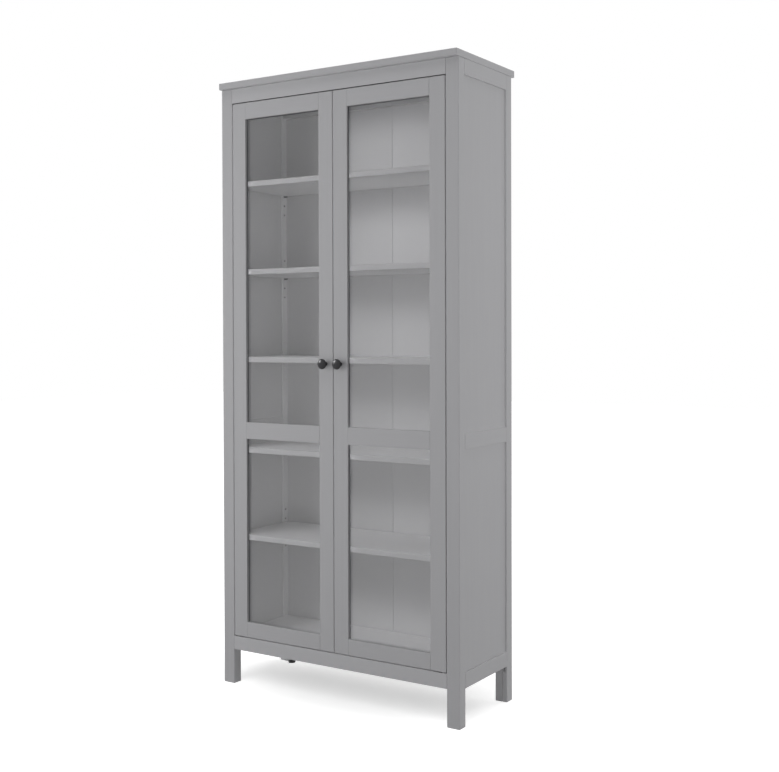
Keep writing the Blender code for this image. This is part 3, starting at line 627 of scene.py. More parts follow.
@dataclass(frozen=True)
class Studio:
    """The pale floor, the white surroundings and the lamps."""

    ambient: float = 0.23
    floor_half: float = 14.0
    floor_colour: float = 0.80
    # the floor's glow is dimmed in an oval round the cabinet: painted shade that deepens and shapes the shadow
    # there
    painted_shade_glow: float = 0.385
    painted_shade_span: Pair = (0.22, 0.95)
    painted_shade_stretch: Triple = (1.0, 1.75, 1.0)
    painted_shade_shift: Triple = (0.0, -0.06, 0.0)
    lamps: tuple[SoftBox, ...] = (
        SoftBox("key_inside", (-1.4, -1.8, 2.0), (0.0, 0.0, 1.3), (1.2, 0.7), 18.6, Reach.INSIDE),
        SoftBox("key_inside_high", (-1.4, -2.3, 2.3), (0.0, 0.0, 1.3), (1.2, 0.7), 29.0, Reach.INSIDE),
        SoftBox("fill_inside", (0.3, -1.6, 1.1), (0.0, 0.0, 1.0), (3.0, 2.2), 8.0, Reach.INSIDE),
        SoftBox("low_inside", (0.0, -1.5, 0.25), (0.0, 0.0, 1.2), (2.0, 0.4), 4.1, Reach.INSIDE),
        SoftBox("key_front", (-0.3, -2.4, 1.35), (0.0, 0.0, 1.1), (2.2, 1.0), 11.0, Reach.FRONT),
        SoftBox("side_left", (-2.45, -1.85, 1.2), (-0.45, 0.0, 1.0), (1.6, 2.4), 37.0),
        SoftBox("side_right", (1.6, -0.3, 1.35), (0.45, 0.0, 1.15), (0.8, 2.3), 4.0),
        SoftBox("side_right_rear", (1.6, 0.45, 1.35), (0.45, 0.1, 1.15), (0.8, 2.3), 7.8),
        SoftBox("overhead", (0.0, -0.4, 4.5), (0.0, 0.0, 0.0), (4.0, 4.0), 127.0),
        SoftBox("rear_fill", (-0.7, 3.0, 2.0), (0.0, 0.19, 1.0), (2.4, 2.4), 22.0),
        SoftBox("post_inside", (1.3, -0.68, 1.2), (-0.43, 0.14, 1.1), (0.3, 1.6), 8.5, Reach.STRIP),
        SoftBox("knob_glint", (-1.72, -1.24, 2.02), (0.0, -0.2, 1.06), (1.0, 1.0), 52.0, Reach.KNOBS, True),
        SoftBox("floor_front", (0.9, -2.6, 3.15), (0.1, -0.1, 0.0), (4.4, 2.9), 88.0, Reach.FLOOR),
        SoftBox("floor_back", (0.9, 2.6, 3.15), (0.1, 0.1, 0.0), (4.4, 2.9), 60.0, Reach.FLOOR),
    )

    def build(self, boards: PackedBoards, doors: list[Piece], knobs: list[Piece]) -> None:
        """Makes the surroundings.

        Args:
            boards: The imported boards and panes.
            doors: The door pieces, which throw no shadow of some lamps on the shelves.
            knobs: The knobs.
        """
        self._world()
        stage = LitPieces(boards.inside(), boards.strip(), doors, knobs, [self._floor()])
        for lamp in self.lamps:
            lamp.build(stage)

    @staticmethod
    def _seen(sheet: NodeSheet) -> tuple[Socket, Socket]:
        """Tells the rays apart that meet the surroundings.

        Args:
            sheet: The tree that the nodes go into.

        Returns:
            A mask of the rays of the camera, of gloss and of glass, and one of rays that no matt surface has
            sent on yet.
        """
        path = sheet.add("ShaderNodeLightPath").outputs
        gloss = sheet.maths("MAXIMUM", path["Is Camera Ray"], path["Is Glossy Ray"])
        seen = sheet.maths("MAXIMUM", gloss, path["Is Transmission Ray"])
        return seen, sheet.maths("LESS_THAN", path["Diffuse Depth"], 0.5)

    def _world(self) -> None:
        """White surroundings for the eye, and a dimmer light from them for the cabinet."""
        world = bpy.data.worlds.new("studio")
        bpy.context.scene.world = world
        world.use_nodes = True
        world.node_tree.nodes.clear()
        sheet = NodeSheet(world.node_tree)
        seen, level = self._seen(sheet)
        light = sheet.add("ShaderNodeBackground", {"Color": grey(1.0), "Strength": self.ambient})
        white = sheet.add("ShaderNodeBackground", {"Color": grey(1.0), "Strength": level})
        sheet.add("ShaderNodeOutputWorld", {"Surface": sheet.mix(seen, light, white)})

    def _floor(self) -> Piece:
        """Makes a pale floor that keeps the cabinet's shadow, with painted shade in an oval round the cabinet,
        and runs out into the white.

        Returns:
            The floor object.
        """
        mesh = bpy.data.meshes.new("studio_floor")
        shape = bmesh.new()
        bmesh.ops.create_grid(shape, x_segments=1, y_segments=1, size=self.floor_half)
        shape.to_mesh(mesh)
        shape.free()
        floor = bpy.data.objects.new("studio_floor", mesh)
        bpy.context.scene.collection.objects.link(floor)
        mesh.materials.append(self._floor_finish())
        return floor

    def _floor_finish(self) -> Material:
        """Makes the floor's finish: matt, with a glow that is dimmed in an oval round the cabinet as painted
        shade, and white further out.

        Returns:
            The material.
        """
        material = bpy.data.materials.new("pale_floor")
        material.use_nodes = True
        material.node_tree.nodes.clear()
        sheet = NodeSheet(material.node_tree)
        matt = sheet.add("ShaderNodeBsdfDiffuse", {"Color": grey(self.floor_colour)})
        # painted shade: the glow is dimmer in an oval round the cabinet and rises to white further out
        around = {0: sheet.coords(), 1: self.painted_shade_stretch, 2: self.painted_shade_shift}
        painted_shade_oval = sheet.out("ShaderNodeVectorMath", around, operation="MULTIPLY_ADD")
        reach = sheet.out("ShaderNodeVectorMath", {0: painted_shade_oval}, "Value", operation="LENGTH")
        lift = sheet.ramp(reach, self.painted_shade_span, self.painted_shade_glow, 1.0, interpolation_type="SMOOTHSTEP")
        seen, level = self._seen(sheet)
        strength = sheet.maths("MULTIPLY", sheet.maths("MULTIPLY", seen, level), lift)
        glow = sheet.add("ShaderNodeEmission", {"Strength": strength})
        both = sheet.add("ShaderNodeAddShader", {0: matt.outputs[0], 1: glow.outputs[0]})
        white = sheet.add("ShaderNodeEmission", {"Strength": level})
        gloss = sheet.out("ShaderNodeLightPath", output="Is Glossy Ray")
        sheet.add("ShaderNodeOutputMaterial", {"Surface": sheet.mix(gloss, both, white)})
        return material


@dataclass
class PackedBoards:
    """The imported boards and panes, which keep their shapes and get their finishes."""

    finishes: Finishes
    nodes: dict[str, Piece]
    upright: tuple[str, ...] = ("post", "stile", "side_panel", "back_panel", "back_joint_strip", "leg_block")
    deep: tuple[str, ...] = ("side_top_rail", "side_mid_rail", "side_bottom_rail")
    metal: tuple[str, ...] = ("hinge_plate", "hinge_socket", "knob_screw", "catch_strike")
    shelves: tuple[str, ...] = ("shelf_", "fixed_shelf")
    behind_glass: tuple[str, ...] = (
        "back_", "bottom_panel", "fixed_shelf", "shelf_", "rear_post_left",
        "side_panel_upper_left", "side_panel_lower_left",
        "side_top_rail_left", "side_mid_rail_left", "side_bottom_rail_left",
    )

    def finish_of(self, name: str) -> Material:
        """Picks a node's finish by its name.

        Args:
            name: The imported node's name.

        Returns:
            The finish for it.
        """
        if "pane_" in name:
            return self.finishes.glass
        hardware = (
            (self.metal, self.finishes.zinc),
            ("knob_", self.finishes.knob),
            ("levelling_foot", self.finishes.black),
            ("magnetic_catch", self.finishes.pale),
        )
        for start, finish in hardware:
            if name.startswith(start):
                return finish
        return self.finishes.paint(self._grain_of(name), self._painted_light_tone_of(name))

    def _grain_of(self, name: str) -> Grain:
        """Tells the way that a board's grain runs by its name."""
        if any(word in name for word in self.deep):
            return Grain.DEEP
        return Grain.UPRIGHT if any(word in name for word in self.upright) else Grain.ACROSS

    def _painted_light_tone_of(self, name: str) -> PaintedLightTone:
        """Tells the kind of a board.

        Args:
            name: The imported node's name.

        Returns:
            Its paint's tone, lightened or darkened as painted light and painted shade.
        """
        # each kind of board gets its paint lightened or darkened as painted light and painted shade
        if name.startswith(self.shelves):
            return PaintedLightTone.SHELF
        if name == "bottom_panel":
            return PaintedLightTone.BASE
        if name.startswith("back_"):
            return PaintedLightTone.BACK_RIGHT if name.endswith(Hand.RIGHT.value) else PaintedLightTone.BACK_LEFT
        return PaintedLightTone.RAIL if name.startswith("front_") and "rail" in name else PaintedLightTone.FRAME

    def inside(self) -> list[Piece]:
        """Lists the boards that show behind the glass."""
        return [node for name, node in sorted(self.nodes.items()) if name.startswith(self.behind_glass)]

    def strip(self) -> list[Piece]:
        """Lists the post whose inner side shows as a strip behind the glass."""
        return [self.nodes["rear_post_left"]]

    def doors(self, bodies: dict[str, list[str]]) -> list[Piece]:
        """Lists the pieces of both doors, by the names of the nodes on each body."""
        return [self.nodes[name] for hand in Hand for name in bodies[hand.door]]

    def dress(self) -> None:
        """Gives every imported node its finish."""
        for name, node in sorted(self.nodes.items()):
            node.data.materials.clear()
            node.data.materials.append(self.finish_of(name))
            LOG.info("%s dressed with %s", name, node.data.materials[0].name)


def smoothed(mesh: Mesh) -> Mesh:
    """Shades a mesh smooth between sharp corners.

    Args:
        mesh: The mesh.

    Returns:
        The same mesh.
    """
    mesh.shade_smooth()
    mesh.set_sharp_from_angle(angle=math.radians(SHARP_DEG))
    return mesh


def closed_mesh(name: str, shape: Shape) -> Mesh:
    """Ends a shape as a mesh with outward normals, smooth faces and sharp corners.

    Args:
        name: The mesh's name.
        shape: The shape, which is freed.

    Returns:
        The mesh.
    """
    bmesh.ops.recalc_face_normals(shape, faces=shape.faces)
    mesh = bpy.data.meshes.new(name)
    shape.to_mesh(mesh)
    shape.free()
    return smoothed(mesh)


def skin(shape: Shape, foot: Vector, rings: Rings, axis: Vector | None = None) -> None:
    """Adds a closed skin over rings of points round an axis.

    Args:
        shape: The shape that gets it.
        foot: The point of the axis at height zero.
        rings: The height of each ring and the reach of each of its points. One reach makes a pointed end.
        axis: The way that heights run, if not upwards.
    """
    frame = Matrix.Identity(3) if axis is None else axis.to_track_quat("Z", "Y").to_matrix()
    made = []
    for height, reaches in rings:
        turns = [math.tau * step / len(reaches) for step in range(len(reaches))]
        spots = [(reach * math.cos(turn), reach * math.sin(turn)) for reach, turn in zip(reaches, turns)]
        made.append([shape.verts.new(foot + frame @ Vector((*spot, height))) for spot in spots])
    for low, high in zip(made, made[1:]):
        for step in range(max(len(low), len(high))):
            corners = [low[step % len(low)], low[(step + 1) % len(low)]]
            corners += [high[(step + 1) % len(high)], high[step % len(high)]]
            shape.faces.new(list(dict.fromkeys(corners)))
    for end in (made[0], made[-1]):
        if len(end) > 1:
            shape.faces.new(end)


def rounded_block(shape: Shape, low: Vector, high: Vector, edge: float) -> None:
    """Adds a block with rounded edges to a shape.

    Args:
        shape: The shape that gets the block.
        low: The block's lowest corner.
        high: The block's highest corner.
        edge: The radius of its edges.
    """
    made = bmesh.ops.create_cube(shape, size=1.0)["verts"]
    bmesh.ops.scale(shape, verts=made, vec=high - low)
    bmesh.ops.translate(shape, verts=made, vec=(low + high) / 2)
    edges = list({each for vert in made for each in vert.link_edges})
    bmesh.ops.bevel(shape, geom=edges, offset=edge, segments=3, profile=0.5, affect="EDGES")


def set_piece(mesh: Mesh, finish: Material, body: str) -> Piece:
    """Puts a finished piece into the scene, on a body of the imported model.

    Args:
        mesh: Its mesh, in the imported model's frame, which has the piece's name.
        finish: Its material.
        body: The body that it moves with.

    Returns:
        The piece.
    """
    mesh.materials.clear()
    mesh.materials.append(finish)
    piece = bpy.data.objects.new(mesh.name, mesh)
    bpy.context.scene.collection.objects.link(piece)
    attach(piece, body)
    LOG.info("%s on %s: %d faces", piece.name, body, len(mesh.polygons))
    return piece


class Scatter:
    """A Geometry Nodes tree that sets one small piece of hardware on every point of a mesh."""

    SEED = 11

    def __init__(self, name: str, form: Callable[[NodeSheet, Sockets], Socket]) -> None:
        """Builds the tree.

        Args:
            name: The tree's name.
            form: Adds the nodes of one piece, which stands on the origin and points up, and gives its mesh.
        """
        inputs = {"Geometry": "Geometry", "Radius": 0.002, "Height": 0.001, "Finish": "Material"}
        self.group = new_group(name, "GeometryNodeTree", inputs, {"Geometry": "Geometry"})
        sheet = NodeSheet(self.group)
        given = sheet.add("NodeGroupInput").outputs
        turn = sheet.out("GeometryNodeInputNamedAttribute", {"Name": "turn"}, data_type="FLOAT_VECTOR")
        spots = {"Points": given["Geometry"], "Instance": form(sheet, given), "Rotation": turn}
        placed = sheet.out("GeometryNodeInstanceOnPoints", spots)
        span = {0: (0.0, 0.0, 0.0), 1: (0.0, 0.0, math.tau), "Seed": self.SEED}
        twist = sheet.out("FunctionNodeRandomValue", span, data_type="FLOAT_VECTOR")
        twisted = sheet.out("GeometryNodeRotateInstances", {"Instances": placed, "Rotation": twist})
        real = sheet.out("GeometryNodeRealizeInstances", {"Geometry": twisted})
        dressed = sheet.out("GeometryNodeSetMaterial", {"Geometry": real, "Material": given["Finish"]})
        sheet.add("NodeGroupOutput", {"Geometry": dressed})

    def piece(
        self, name: str, places: list[Place], size: Pair, finish: Material, body: str, slot: str
    ) -> Piece:
        """Sets small parts out and makes them one plain piece.

        Args:
            name: The piece's name.
            places: The point and the facing of each part.
            size: The parts' radius and height.
            finish: Their material.
            body: The body that they move with.
            slot: The record's material slot; not used.

        Returns:
            The piece.
        """
        points = bpy.data.meshes.new(f"{name}_points")
        points.from_pydata([tuple(point) for point, _ in places], [], [])
        turns = points.attributes.new("turn", "FLOAT_VECTOR", "POINT")
        for entry, (_, facing) in zip(turns.data, places):
            entry.vector = facing.to_track_quat("Z", "Y").to_euler()
        holder = bpy.data.objects.new(f"{name}_points", points)
        bpy.context.scene.collection.objects.link(holder)
        modifier = holder.modifiers.new("set_out", "NODES")
        modifier.node_group = self.group
        values = {"Radius": size[0], "Height": size[1], "Finish": finish}
        for socket in self.group.interface.items_tree:
            if socket.in_out == "INPUT" and socket.name in values:
                modifier[socket.identifier] = values[socket.name]
        result = holder.evaluated_get(bpy.context.evaluated_depsgraph_get())
        mesh = bpy.data.meshes.new_from_object(result)
        holder.modifiers.remove(modifier)
        bpy.data.objects.remove(holder)
        mesh.name = name
        return set_piece(smoothed(mesh), finish, body)


class HardwareForms:
    """The small pieces that the scatter trees set out, with their proportions."""

    FINE_SIDES = 24
    NAIL_SIDES = 12
    CROSS_LENGTH, CROSS_WIDTH, CROSS_DEPTH = 1.15, 0.27, 1.5
    COLLAR_TOP, COLLAR_FOOT, COLLAR_DEPTH = 1.3, 1.5, 0.1
    TIP_END, TIP_DEPTH = 0.7, 0.07

    @staticmethod
    def dome(sheet: NodeSheet, given: Sockets, segments: int) -> Socket:
        """A low round head.

        Args:
            sheet: The tree that gets the nodes.
            given: The tree's inputs.
            segments: Faces round the head.

        Returns:
            The head's mesh.
        """
        round_form = {"Segments": segments, "Rings": segments // 2, "Radius": given["Radius"]}
        ball = sheet.out("GeometryNodeMeshUVSphere", round_form, "Mesh")
        squeeze = sheet.vector(X=1.0, Y=1.0, Z=sheet.maths("DIVIDE", given["Height"], given["Radius"]))
        return sheet.out("GeometryNodeTransform", {"Geometry": ball, "Scale": squeeze})

    @classmethod
    def screw_head(cls, sheet: NodeSheet, given: Sockets) -> Socket:
        """A raised screw head with a cross recess.

        Args:
            sheet: The tree that gets the nodes.
            given: The tree's inputs.

        Returns:
            The head's mesh.
        """
        long_side = sheet.maths("MULTIPLY", given["Radius"], cls.CROSS_LENGTH)
        short_side = sheet.maths("MULTIPLY", given["Radius"], cls.CROSS_WIDTH)
        deep = sheet.maths("MULTIPLY", given["Height"], cls.CROSS_DEPTH)
        lift = sheet.vector(Z=given["Height"])
        cross = sheet.add("GeometryNodeMeshBoolean", operation="UNION", solver="MANIFOLD")
        for wide, high in ((long_side, short_side), (short_side, long_side)):
            size = sheet.vector(X=wide, Y=high, Z=deep)
            bar = sheet.out("GeometryNodeMeshCube", {"Size": size}, "Mesh")
            raised = sheet.out("GeometryNodeTransform", {"Geometry": bar, "Translation": lift})
            sheet.join(raised, cross.inputs["Mesh 2"])
        parts = {"Mesh 1": cls.dome(sheet, given, cls.FINE_SIDES), "Mesh 2": cross.outputs["Mesh"]}
        return sheet.out("GeometryNodeMeshBoolean", parts, "Mesh", operation="DIFFERENCE", solver="MANIFOLD")

    @classmethod
    def nail_head(cls, sheet: NodeSheet, given: Sockets) -> Socket:
        """A small round nail head."""
        return cls.dome(sheet, given, cls.NAIL_SIDES)

    @classmethod
    def shelf_pin(cls, sheet: NodeSheet, given: Sockets) -> Socket:
        """A shelf pin: a collar against the post, a shank and a tapered end.

        Args:
            sheet: The tree that gets the nodes.
            given: The tree's inputs.

        Returns:
            The pin's mesh.
        """
        radius, height = given["Radius"], given["Height"]
        collar_top = sheet.maths("MULTIPLY", radius, cls.COLLAR_TOP)
        collar_foot = sheet.maths("MULTIPLY", radius, cls.COLLAR_FOOT)
        collar_depth = sheet.maths("MULTIPLY", height, cls.COLLAR_DEPTH)
        tip_end = sheet.maths("MULTIPLY", radius, cls.TIP_END)
        tip_depth = sheet.maths("MULTIPLY", height, cls.TIP_DEPTH)
        cones = []
        for top, foot, depth in (
            (collar_top, collar_foot, collar_depth),
            (radius, radius, height),
            (tip_end, radius, tip_depth),
        ):
            sides = {"Vertices": cls.FINE_SIDES, "Radius Top": top, "Radius Bottom": foot, "Depth": depth}
            cones.append(sheet.out("GeometryNodeMeshCone", sides, "Mesh"))
        collar, shank, tip = cones
        raised = sheet.out("GeometryNodeTransform", {"Geometry": tip, "Translation": sheet.vector(Z=height)})
        whole = sheet.add("GeometryNodeJoinGeometry")
        for part in (collar, shank, raised):
            sheet.join(part, whole.inputs["Geometry"])
        return whole.outputs["Geometry"]


@dataclass
class Knobs:
    """The two turned mushroom knobs and the screws that hold them from behind."""

    finishes: Finishes
    screws: Scatter
    crown: float = 0.0085
    undercut: float = 0.0065
    neck_radius: float = 0.0052
    base_radius: float = 0.0066
    throat: float = 1.12
    throat_ease: Pair = (1.03, 0.4)
    foot_rise: float = 2.6
    foot_fall: float = 1.6
    base_ease: float = 0.25
    arc_steps: int = 20
    foot_steps: int = 8
    steps: int = 72

    def profile(self, radius: float, projection: float) -> list[Pair]:
        """The knob's outline from the middle of its crown to the middle of its base.

        Args:
            radius: The head's radius.
            projection: The distance from the door to the crown.

        Returns:
            Radius and height of each point.
        """
        equator = projection - self.crown
        quarter = math.pi / 2
        arc = [quarter * step / self.arc_steps for step in range(self.arc_steps + 1)]
        outline = [(radius * math.sin(turn), equator + self.crown * math.cos(turn)) for turn in arc]
        lowest = math.pi - math.asin(self.neck_radius * self.throat / radius)
        fall = [quarter + (lowest - quarter) * step / self.arc_steps for step in range(1, self.arc_steps + 1)]
        outline += [(radius * math.sin(turn), equator + self.undercut * math.cos(turn)) for turn in fall]
        flare = self.base_radius - self.neck_radius
        wider, drop = self.throat_ease
        outline += [(self.neck_radius * wider, outline[-1][1] - flare * drop)]
        outline += [(self.neck_radius, outline[-1][1] - flare)]
        for step in range(self.foot_steps + 1):
            turn = quarter * step / self.foot_steps
            rise = flare * (self.foot_rise - self.foot_fall * math.sin(turn))
            outline.append((self.base_radius - flare * math.cos(turn), rise))
        ease = flare * self.base_ease
        return outline + [(self.base_radius, ease), (self.base_radius - ease, 0.0), (0.0, 0.0)]

    def build(self) -> list[Piece]:
        """Makes a knob and its screw head on each door.

        Returns:
            The two knobs.
        """
        knobs = []
        for hand in Hand:
            low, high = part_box(f"knob_{hand.value}")
            middle = (low + high) / 2
            outline = self.profile((high.x - low.x) / 2, high.y - low.y)
            rings = [(height, [radius] * (self.steps if radius > 0.0 else 1)) for radius, height in outline]
            shape = bmesh.new()
            skin(shape, Vector((middle.x, high.y, middle.z)), rings, FORWARD)
            mesh = closed_mesh(f"turned_knob_{hand.value}", shape)
            knob = set_piece(mesh, self.finishes.knob, hand.door)
            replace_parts(knob, f"knob_{hand.value}")
            self._screw(hand)
            knobs.append(knob)
        return knobs

    def _screw(self, hand: Hand) -> None:
        """Makes the screw head behind a knob.

        Args:
            hand: The door's side.
        """
        node = f"knob_screw_{hand.value}"
        low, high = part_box(node)
        middle = (low + high) / 2
        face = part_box(f"meeting_stile_{hand.value}")[1].y
        place = (Vector((middle.x, face, middle.z)), REARWARD)
        size = ((high.x - low.x) / 2, high.y - face)
        name = f"knob_screw_head_{hand.value}"
        head = self.screws.piece(name, [place], size, self.finishes.zinc, hand.door, "bright_steel")
        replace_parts(head, node)


@dataclass
class ShelfPins:
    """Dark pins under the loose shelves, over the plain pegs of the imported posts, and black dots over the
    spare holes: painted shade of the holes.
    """

    finishes: Finishes
    radius: float = 0.0027
    reach: float = 0.012
    overlap: float = 0.0002
    drop: float = 0.0028
    front_inset: float = 0.0125
    rear_inset: float = 0.013
    shelves: tuple[str, ...] = ("shelf_lower_1", "shelf_upper_1", "shelf_upper_2", "shelf_upper_3")
    shade_dotted: tuple[str, ...] = ("shelf_lower_1", "shelf_upper_2", "shelf_upper_3")
    spare_steps: tuple[int, ...] = (-2, -1, 1, 2)
    hole_pitch: float = 0.032
    shade_dot_size: Pair = (0.0034, 0.0005)

    def places(self, shelves: tuple[str, ...], steps: tuple[int, ...]) -> list[Place]:
        """Finds the holes for the four pins of some shelves, or the spare ones above and below them.

        Args:
            shelves: The shelves' names.
            steps: Holes counted up from the pin's own hole.

        Returns:
            Where each hole leaves its post, and the way that it points.
        """
        found = []
        for hand in Hand:
            front_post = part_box(f"front_post_{hand.value}")
            rear_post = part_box(f"rear_post_{hand.value}")
            doorway = hand.inner(front_post) + hand.sign * self.front_inset
            front = Vector((doorway, front_post[1].y - self.reach, 0.0))
            tip = hand.inner(rear_post) + hand.sign * self.reach
            rear = Vector((tip, rear_post[0].y + self.rear_inset, 0.0))
            for shelf in shelves:
                for step in steps:
                    height = Vector((0.0, 0.0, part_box(shelf)[0].z - self.drop + step * self.hole_pitch))
                    found.append((front + height, REARWARD))
                    found.append((rear + height, Vector((-hand.sign, 0.0, 0.0))))
        return found

    def build(self) -> None:
        """Makes all the pins as one piece on the carcass, and all the black dots of painted hole shade as
        another.
        """
        size = (self.radius, self.reach + self.overlap)
        pins = self.places(self.shelves, (0,))
        tree = Scatter("shelf_pins", HardwareForms.shelf_pin)
        tree.piece("shelf_pins", pins, size, self.finishes.knob, CARCASS, "dark_metal")
        # black domes over the spare holes stand in for the shade in the holes: painted shade
        spare = self.places(self.shade_dotted, self.spare_steps)
        tree = Scatter("hole_shade_dots", HardwareForms.nail_head)
        tree.piece("hole_shade_dots", spare, self.shade_dot_size, self.finishes.black, CARCASS, "black_plastic")


@dataclass
class FittingScrews:
    """Screw heads in the hinge plates, the hinge sockets and the catch's strikes."""

    finishes: Finishes
    screws: Scatter
    radius: float = 0.0022
    height: float = 0.0005
    flush: float = 0.0002
    plate: float = 0.0025
    from_inner_end: Pair = (0.006, 0.018)
    strike_spread: float = 0.008

    def _on_plates(self, kind: str, hand: Hand, sunk: float = 0.0) -> list[Place]:
        """Screws of the upper and lower hinge plate or socket on one side.

        Args:
            kind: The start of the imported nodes' names.
            hand: The side of the cabinet.
            sunk: A plate's thickness where the screws are on its inner face.

        Returns:
            The screws' places.
        """
        found = []
        for end, outward in (("top", 1.0), ("bottom", -1.0)):
            low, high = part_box(f"{kind}_{end}_{hand.value}")
            face = (high.z if outward > 0.0 else low.z) - outward * sunk
            facing = Vector((0.0, 0.0, -outward if sunk else outward))
            for step in self.from_inner_end:
                x = hand.inner((low, high)) + hand.sign * step
                found.append((Vector((x, (low.y + high.y) / 2, face)), facing))
        return found

    def build(self) -> None:
        """Makes one piece of screw heads for each body."""
        plates = []
        for hand in Hand:
            plates += self._on_plates("hinge_plate", hand, self.plate)
            sockets = self._on_plates("hinge_socket", hand)
            self._piece(f"socket_screws_{hand.value}", sockets, self.height, hand.door)
            low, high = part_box(f"catch_strike_{hand.value}")
            middle = (low + high) / 2
            steps = (-self.strike_spread, self.strike_spread)
            strikes = [(Vector((middle.x + step, high.y, middle.z)), REARWARD) for step in steps]
            self._piece(f"strike_screws_{hand.value}", strikes, self.flush, hand.door)
        self._piece("hinge_plate_screws", plates, self.height, CARCASS)

    def _piece(self, name: str, places: list[Place], height: float, body: str) -> None:
        """Makes a piece of screw heads of a height, on a body."""
        self.screws.piece(name, places, (self.radius, height), self.finishes.zinc, body, "bright_steel")


@dataclass
class BackNails:
    """Nail heads along the edges of the two back sheets."""

    finishes: Finishes
    size: Pair = (0.0021, 0.0006)
    edge: float = 0.009
    groove: float = 0.012
    pitch: float = 0.115

    def places(self) -> list[Place]:
        """Finds the nails along the sheets' outer sides, at top and bottom and along the fixed shelf.

        Returns:
            The place of each nail.
        """
        shelf_low, shelf_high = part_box("fixed_shelf")
        spots = []
        for hand in Hand:
            low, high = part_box(f"back_panel_{hand.value}")
            inner = hand.inner(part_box(f"rear_post_{hand.value}")) + hand.sign * self.groove
            side = inner - hand.sign * self.edge
            count = round((high.z - low.z) / self.pitch)
            rise = (high.z - low.z - 2 * self.edge) / count
            spots += [(side, low.z + self.edge + rise * step) for step in range(count + 1)]
            across = abs(side) - 2 * self.edge
            rows = (low.z + self.edge, (shelf_low.z + shelf_high.z) / 2, high.z - self.edge)
            steps = round(across / self.pitch)
            for row in rows:
                spots += [(hand.sign * (self.edge * 2 + across * step / steps), row) for step in range(steps)]
        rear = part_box("back_panel_left")[1].y
        return [(Vector((x, rear, z)), REARWARD) for x, z in spots]

    def build(self) -> None:
        """Makes all the nail heads as one piece on the carcass."""
        tree = Scatter("back_nails", HardwareForms.nail_head)
        tree.piece("back_nails", self.places(), self.size, self.finishes.zinc, CARCASS, "bright_steel")


@dataclass
class MagneticCatch:
    """The double magnetic catch under the front top rail: a moulded housing, magnets and pole plates."""

    finishes: Finishes
    screws: Scatter
    rounding: float = 0.0014
    magnet_half: Pair = (0.0105, 0.0032)
    pole_half: Pair = (0.0112, 0.0008)
    pole_rise: float = 0.0044
    magnet_proud: float = 0.0001
    pole_proud: float = 0.0002
    bar_depth: float = 0.004
    bar_ease: float = 0.2
    screw_size: Pair = (0.0026, 0.0006)

    def build(self) -> None:
        """Makes the housing, the magnets, the pole plates and the screw."""
        low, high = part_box("magnetic_catch")
        front = low.y + self.pole_proud
        housing, magnets, poles = bmesh.new(), bmesh.new(), bmesh.new()
        rounded_block(housing, Vector((low.x, front, low.z)), high, self.rounding)
        mesh = closed_mesh("catch_housing", housing)
        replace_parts(set_piece(mesh, self.finishes.pale, CARCASS), "magnetic_catch")
        for hand in Hand:
            strike_low, strike_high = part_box(f"catch_strike_{hand.value}")
            x = (strike_low.x + strike_high.x) / 2
            z = (strike_low.z + strike_high.z) / 2
            self._bar(magnets, Vector((x, front, z)), self.magnet_half, self.magnet_proud)
            for rise in (-self.pole_rise, self.pole_rise):
                self._bar(poles, Vector((x, front, z + rise)), self.pole_half, self.pole_proud)
        set_piece(closed_mesh("catch_magnets", magnets), self.finishes.black, CARCASS)
        set_piece(closed_mesh("catch_poles", poles), self.finishes.zinc, CARCASS)
        spot = (Vector((0.0, front, (low.z + high.z) / 2)), FORWARD)
        self.screws.piece("catch_screw", [spot], self.screw_size, self.finishes.zinc, CARCASS, "bright_steel")

    def _bar(self, shape: Shape, middle: Vector, half: Pair, proud: float) -> None:
        """Adds a flat bar that stands a little proud of the housing's front.

        Args:
            shape: The shape that gets the bar.
            middle: The middle of the bar on the housing's front.
            half: Half of its width and height.
            proud: How far it stands out.
        """
        reach = Vector((half[0], 0.0, half[1]))
        low = middle - reach - Vector((0.0, proud, 0.0))
        high = middle + reach + Vector((0.0, self.bar_depth, 0.0))
        rounded_block(shape, low, high, min(half) * self.bar_ease)


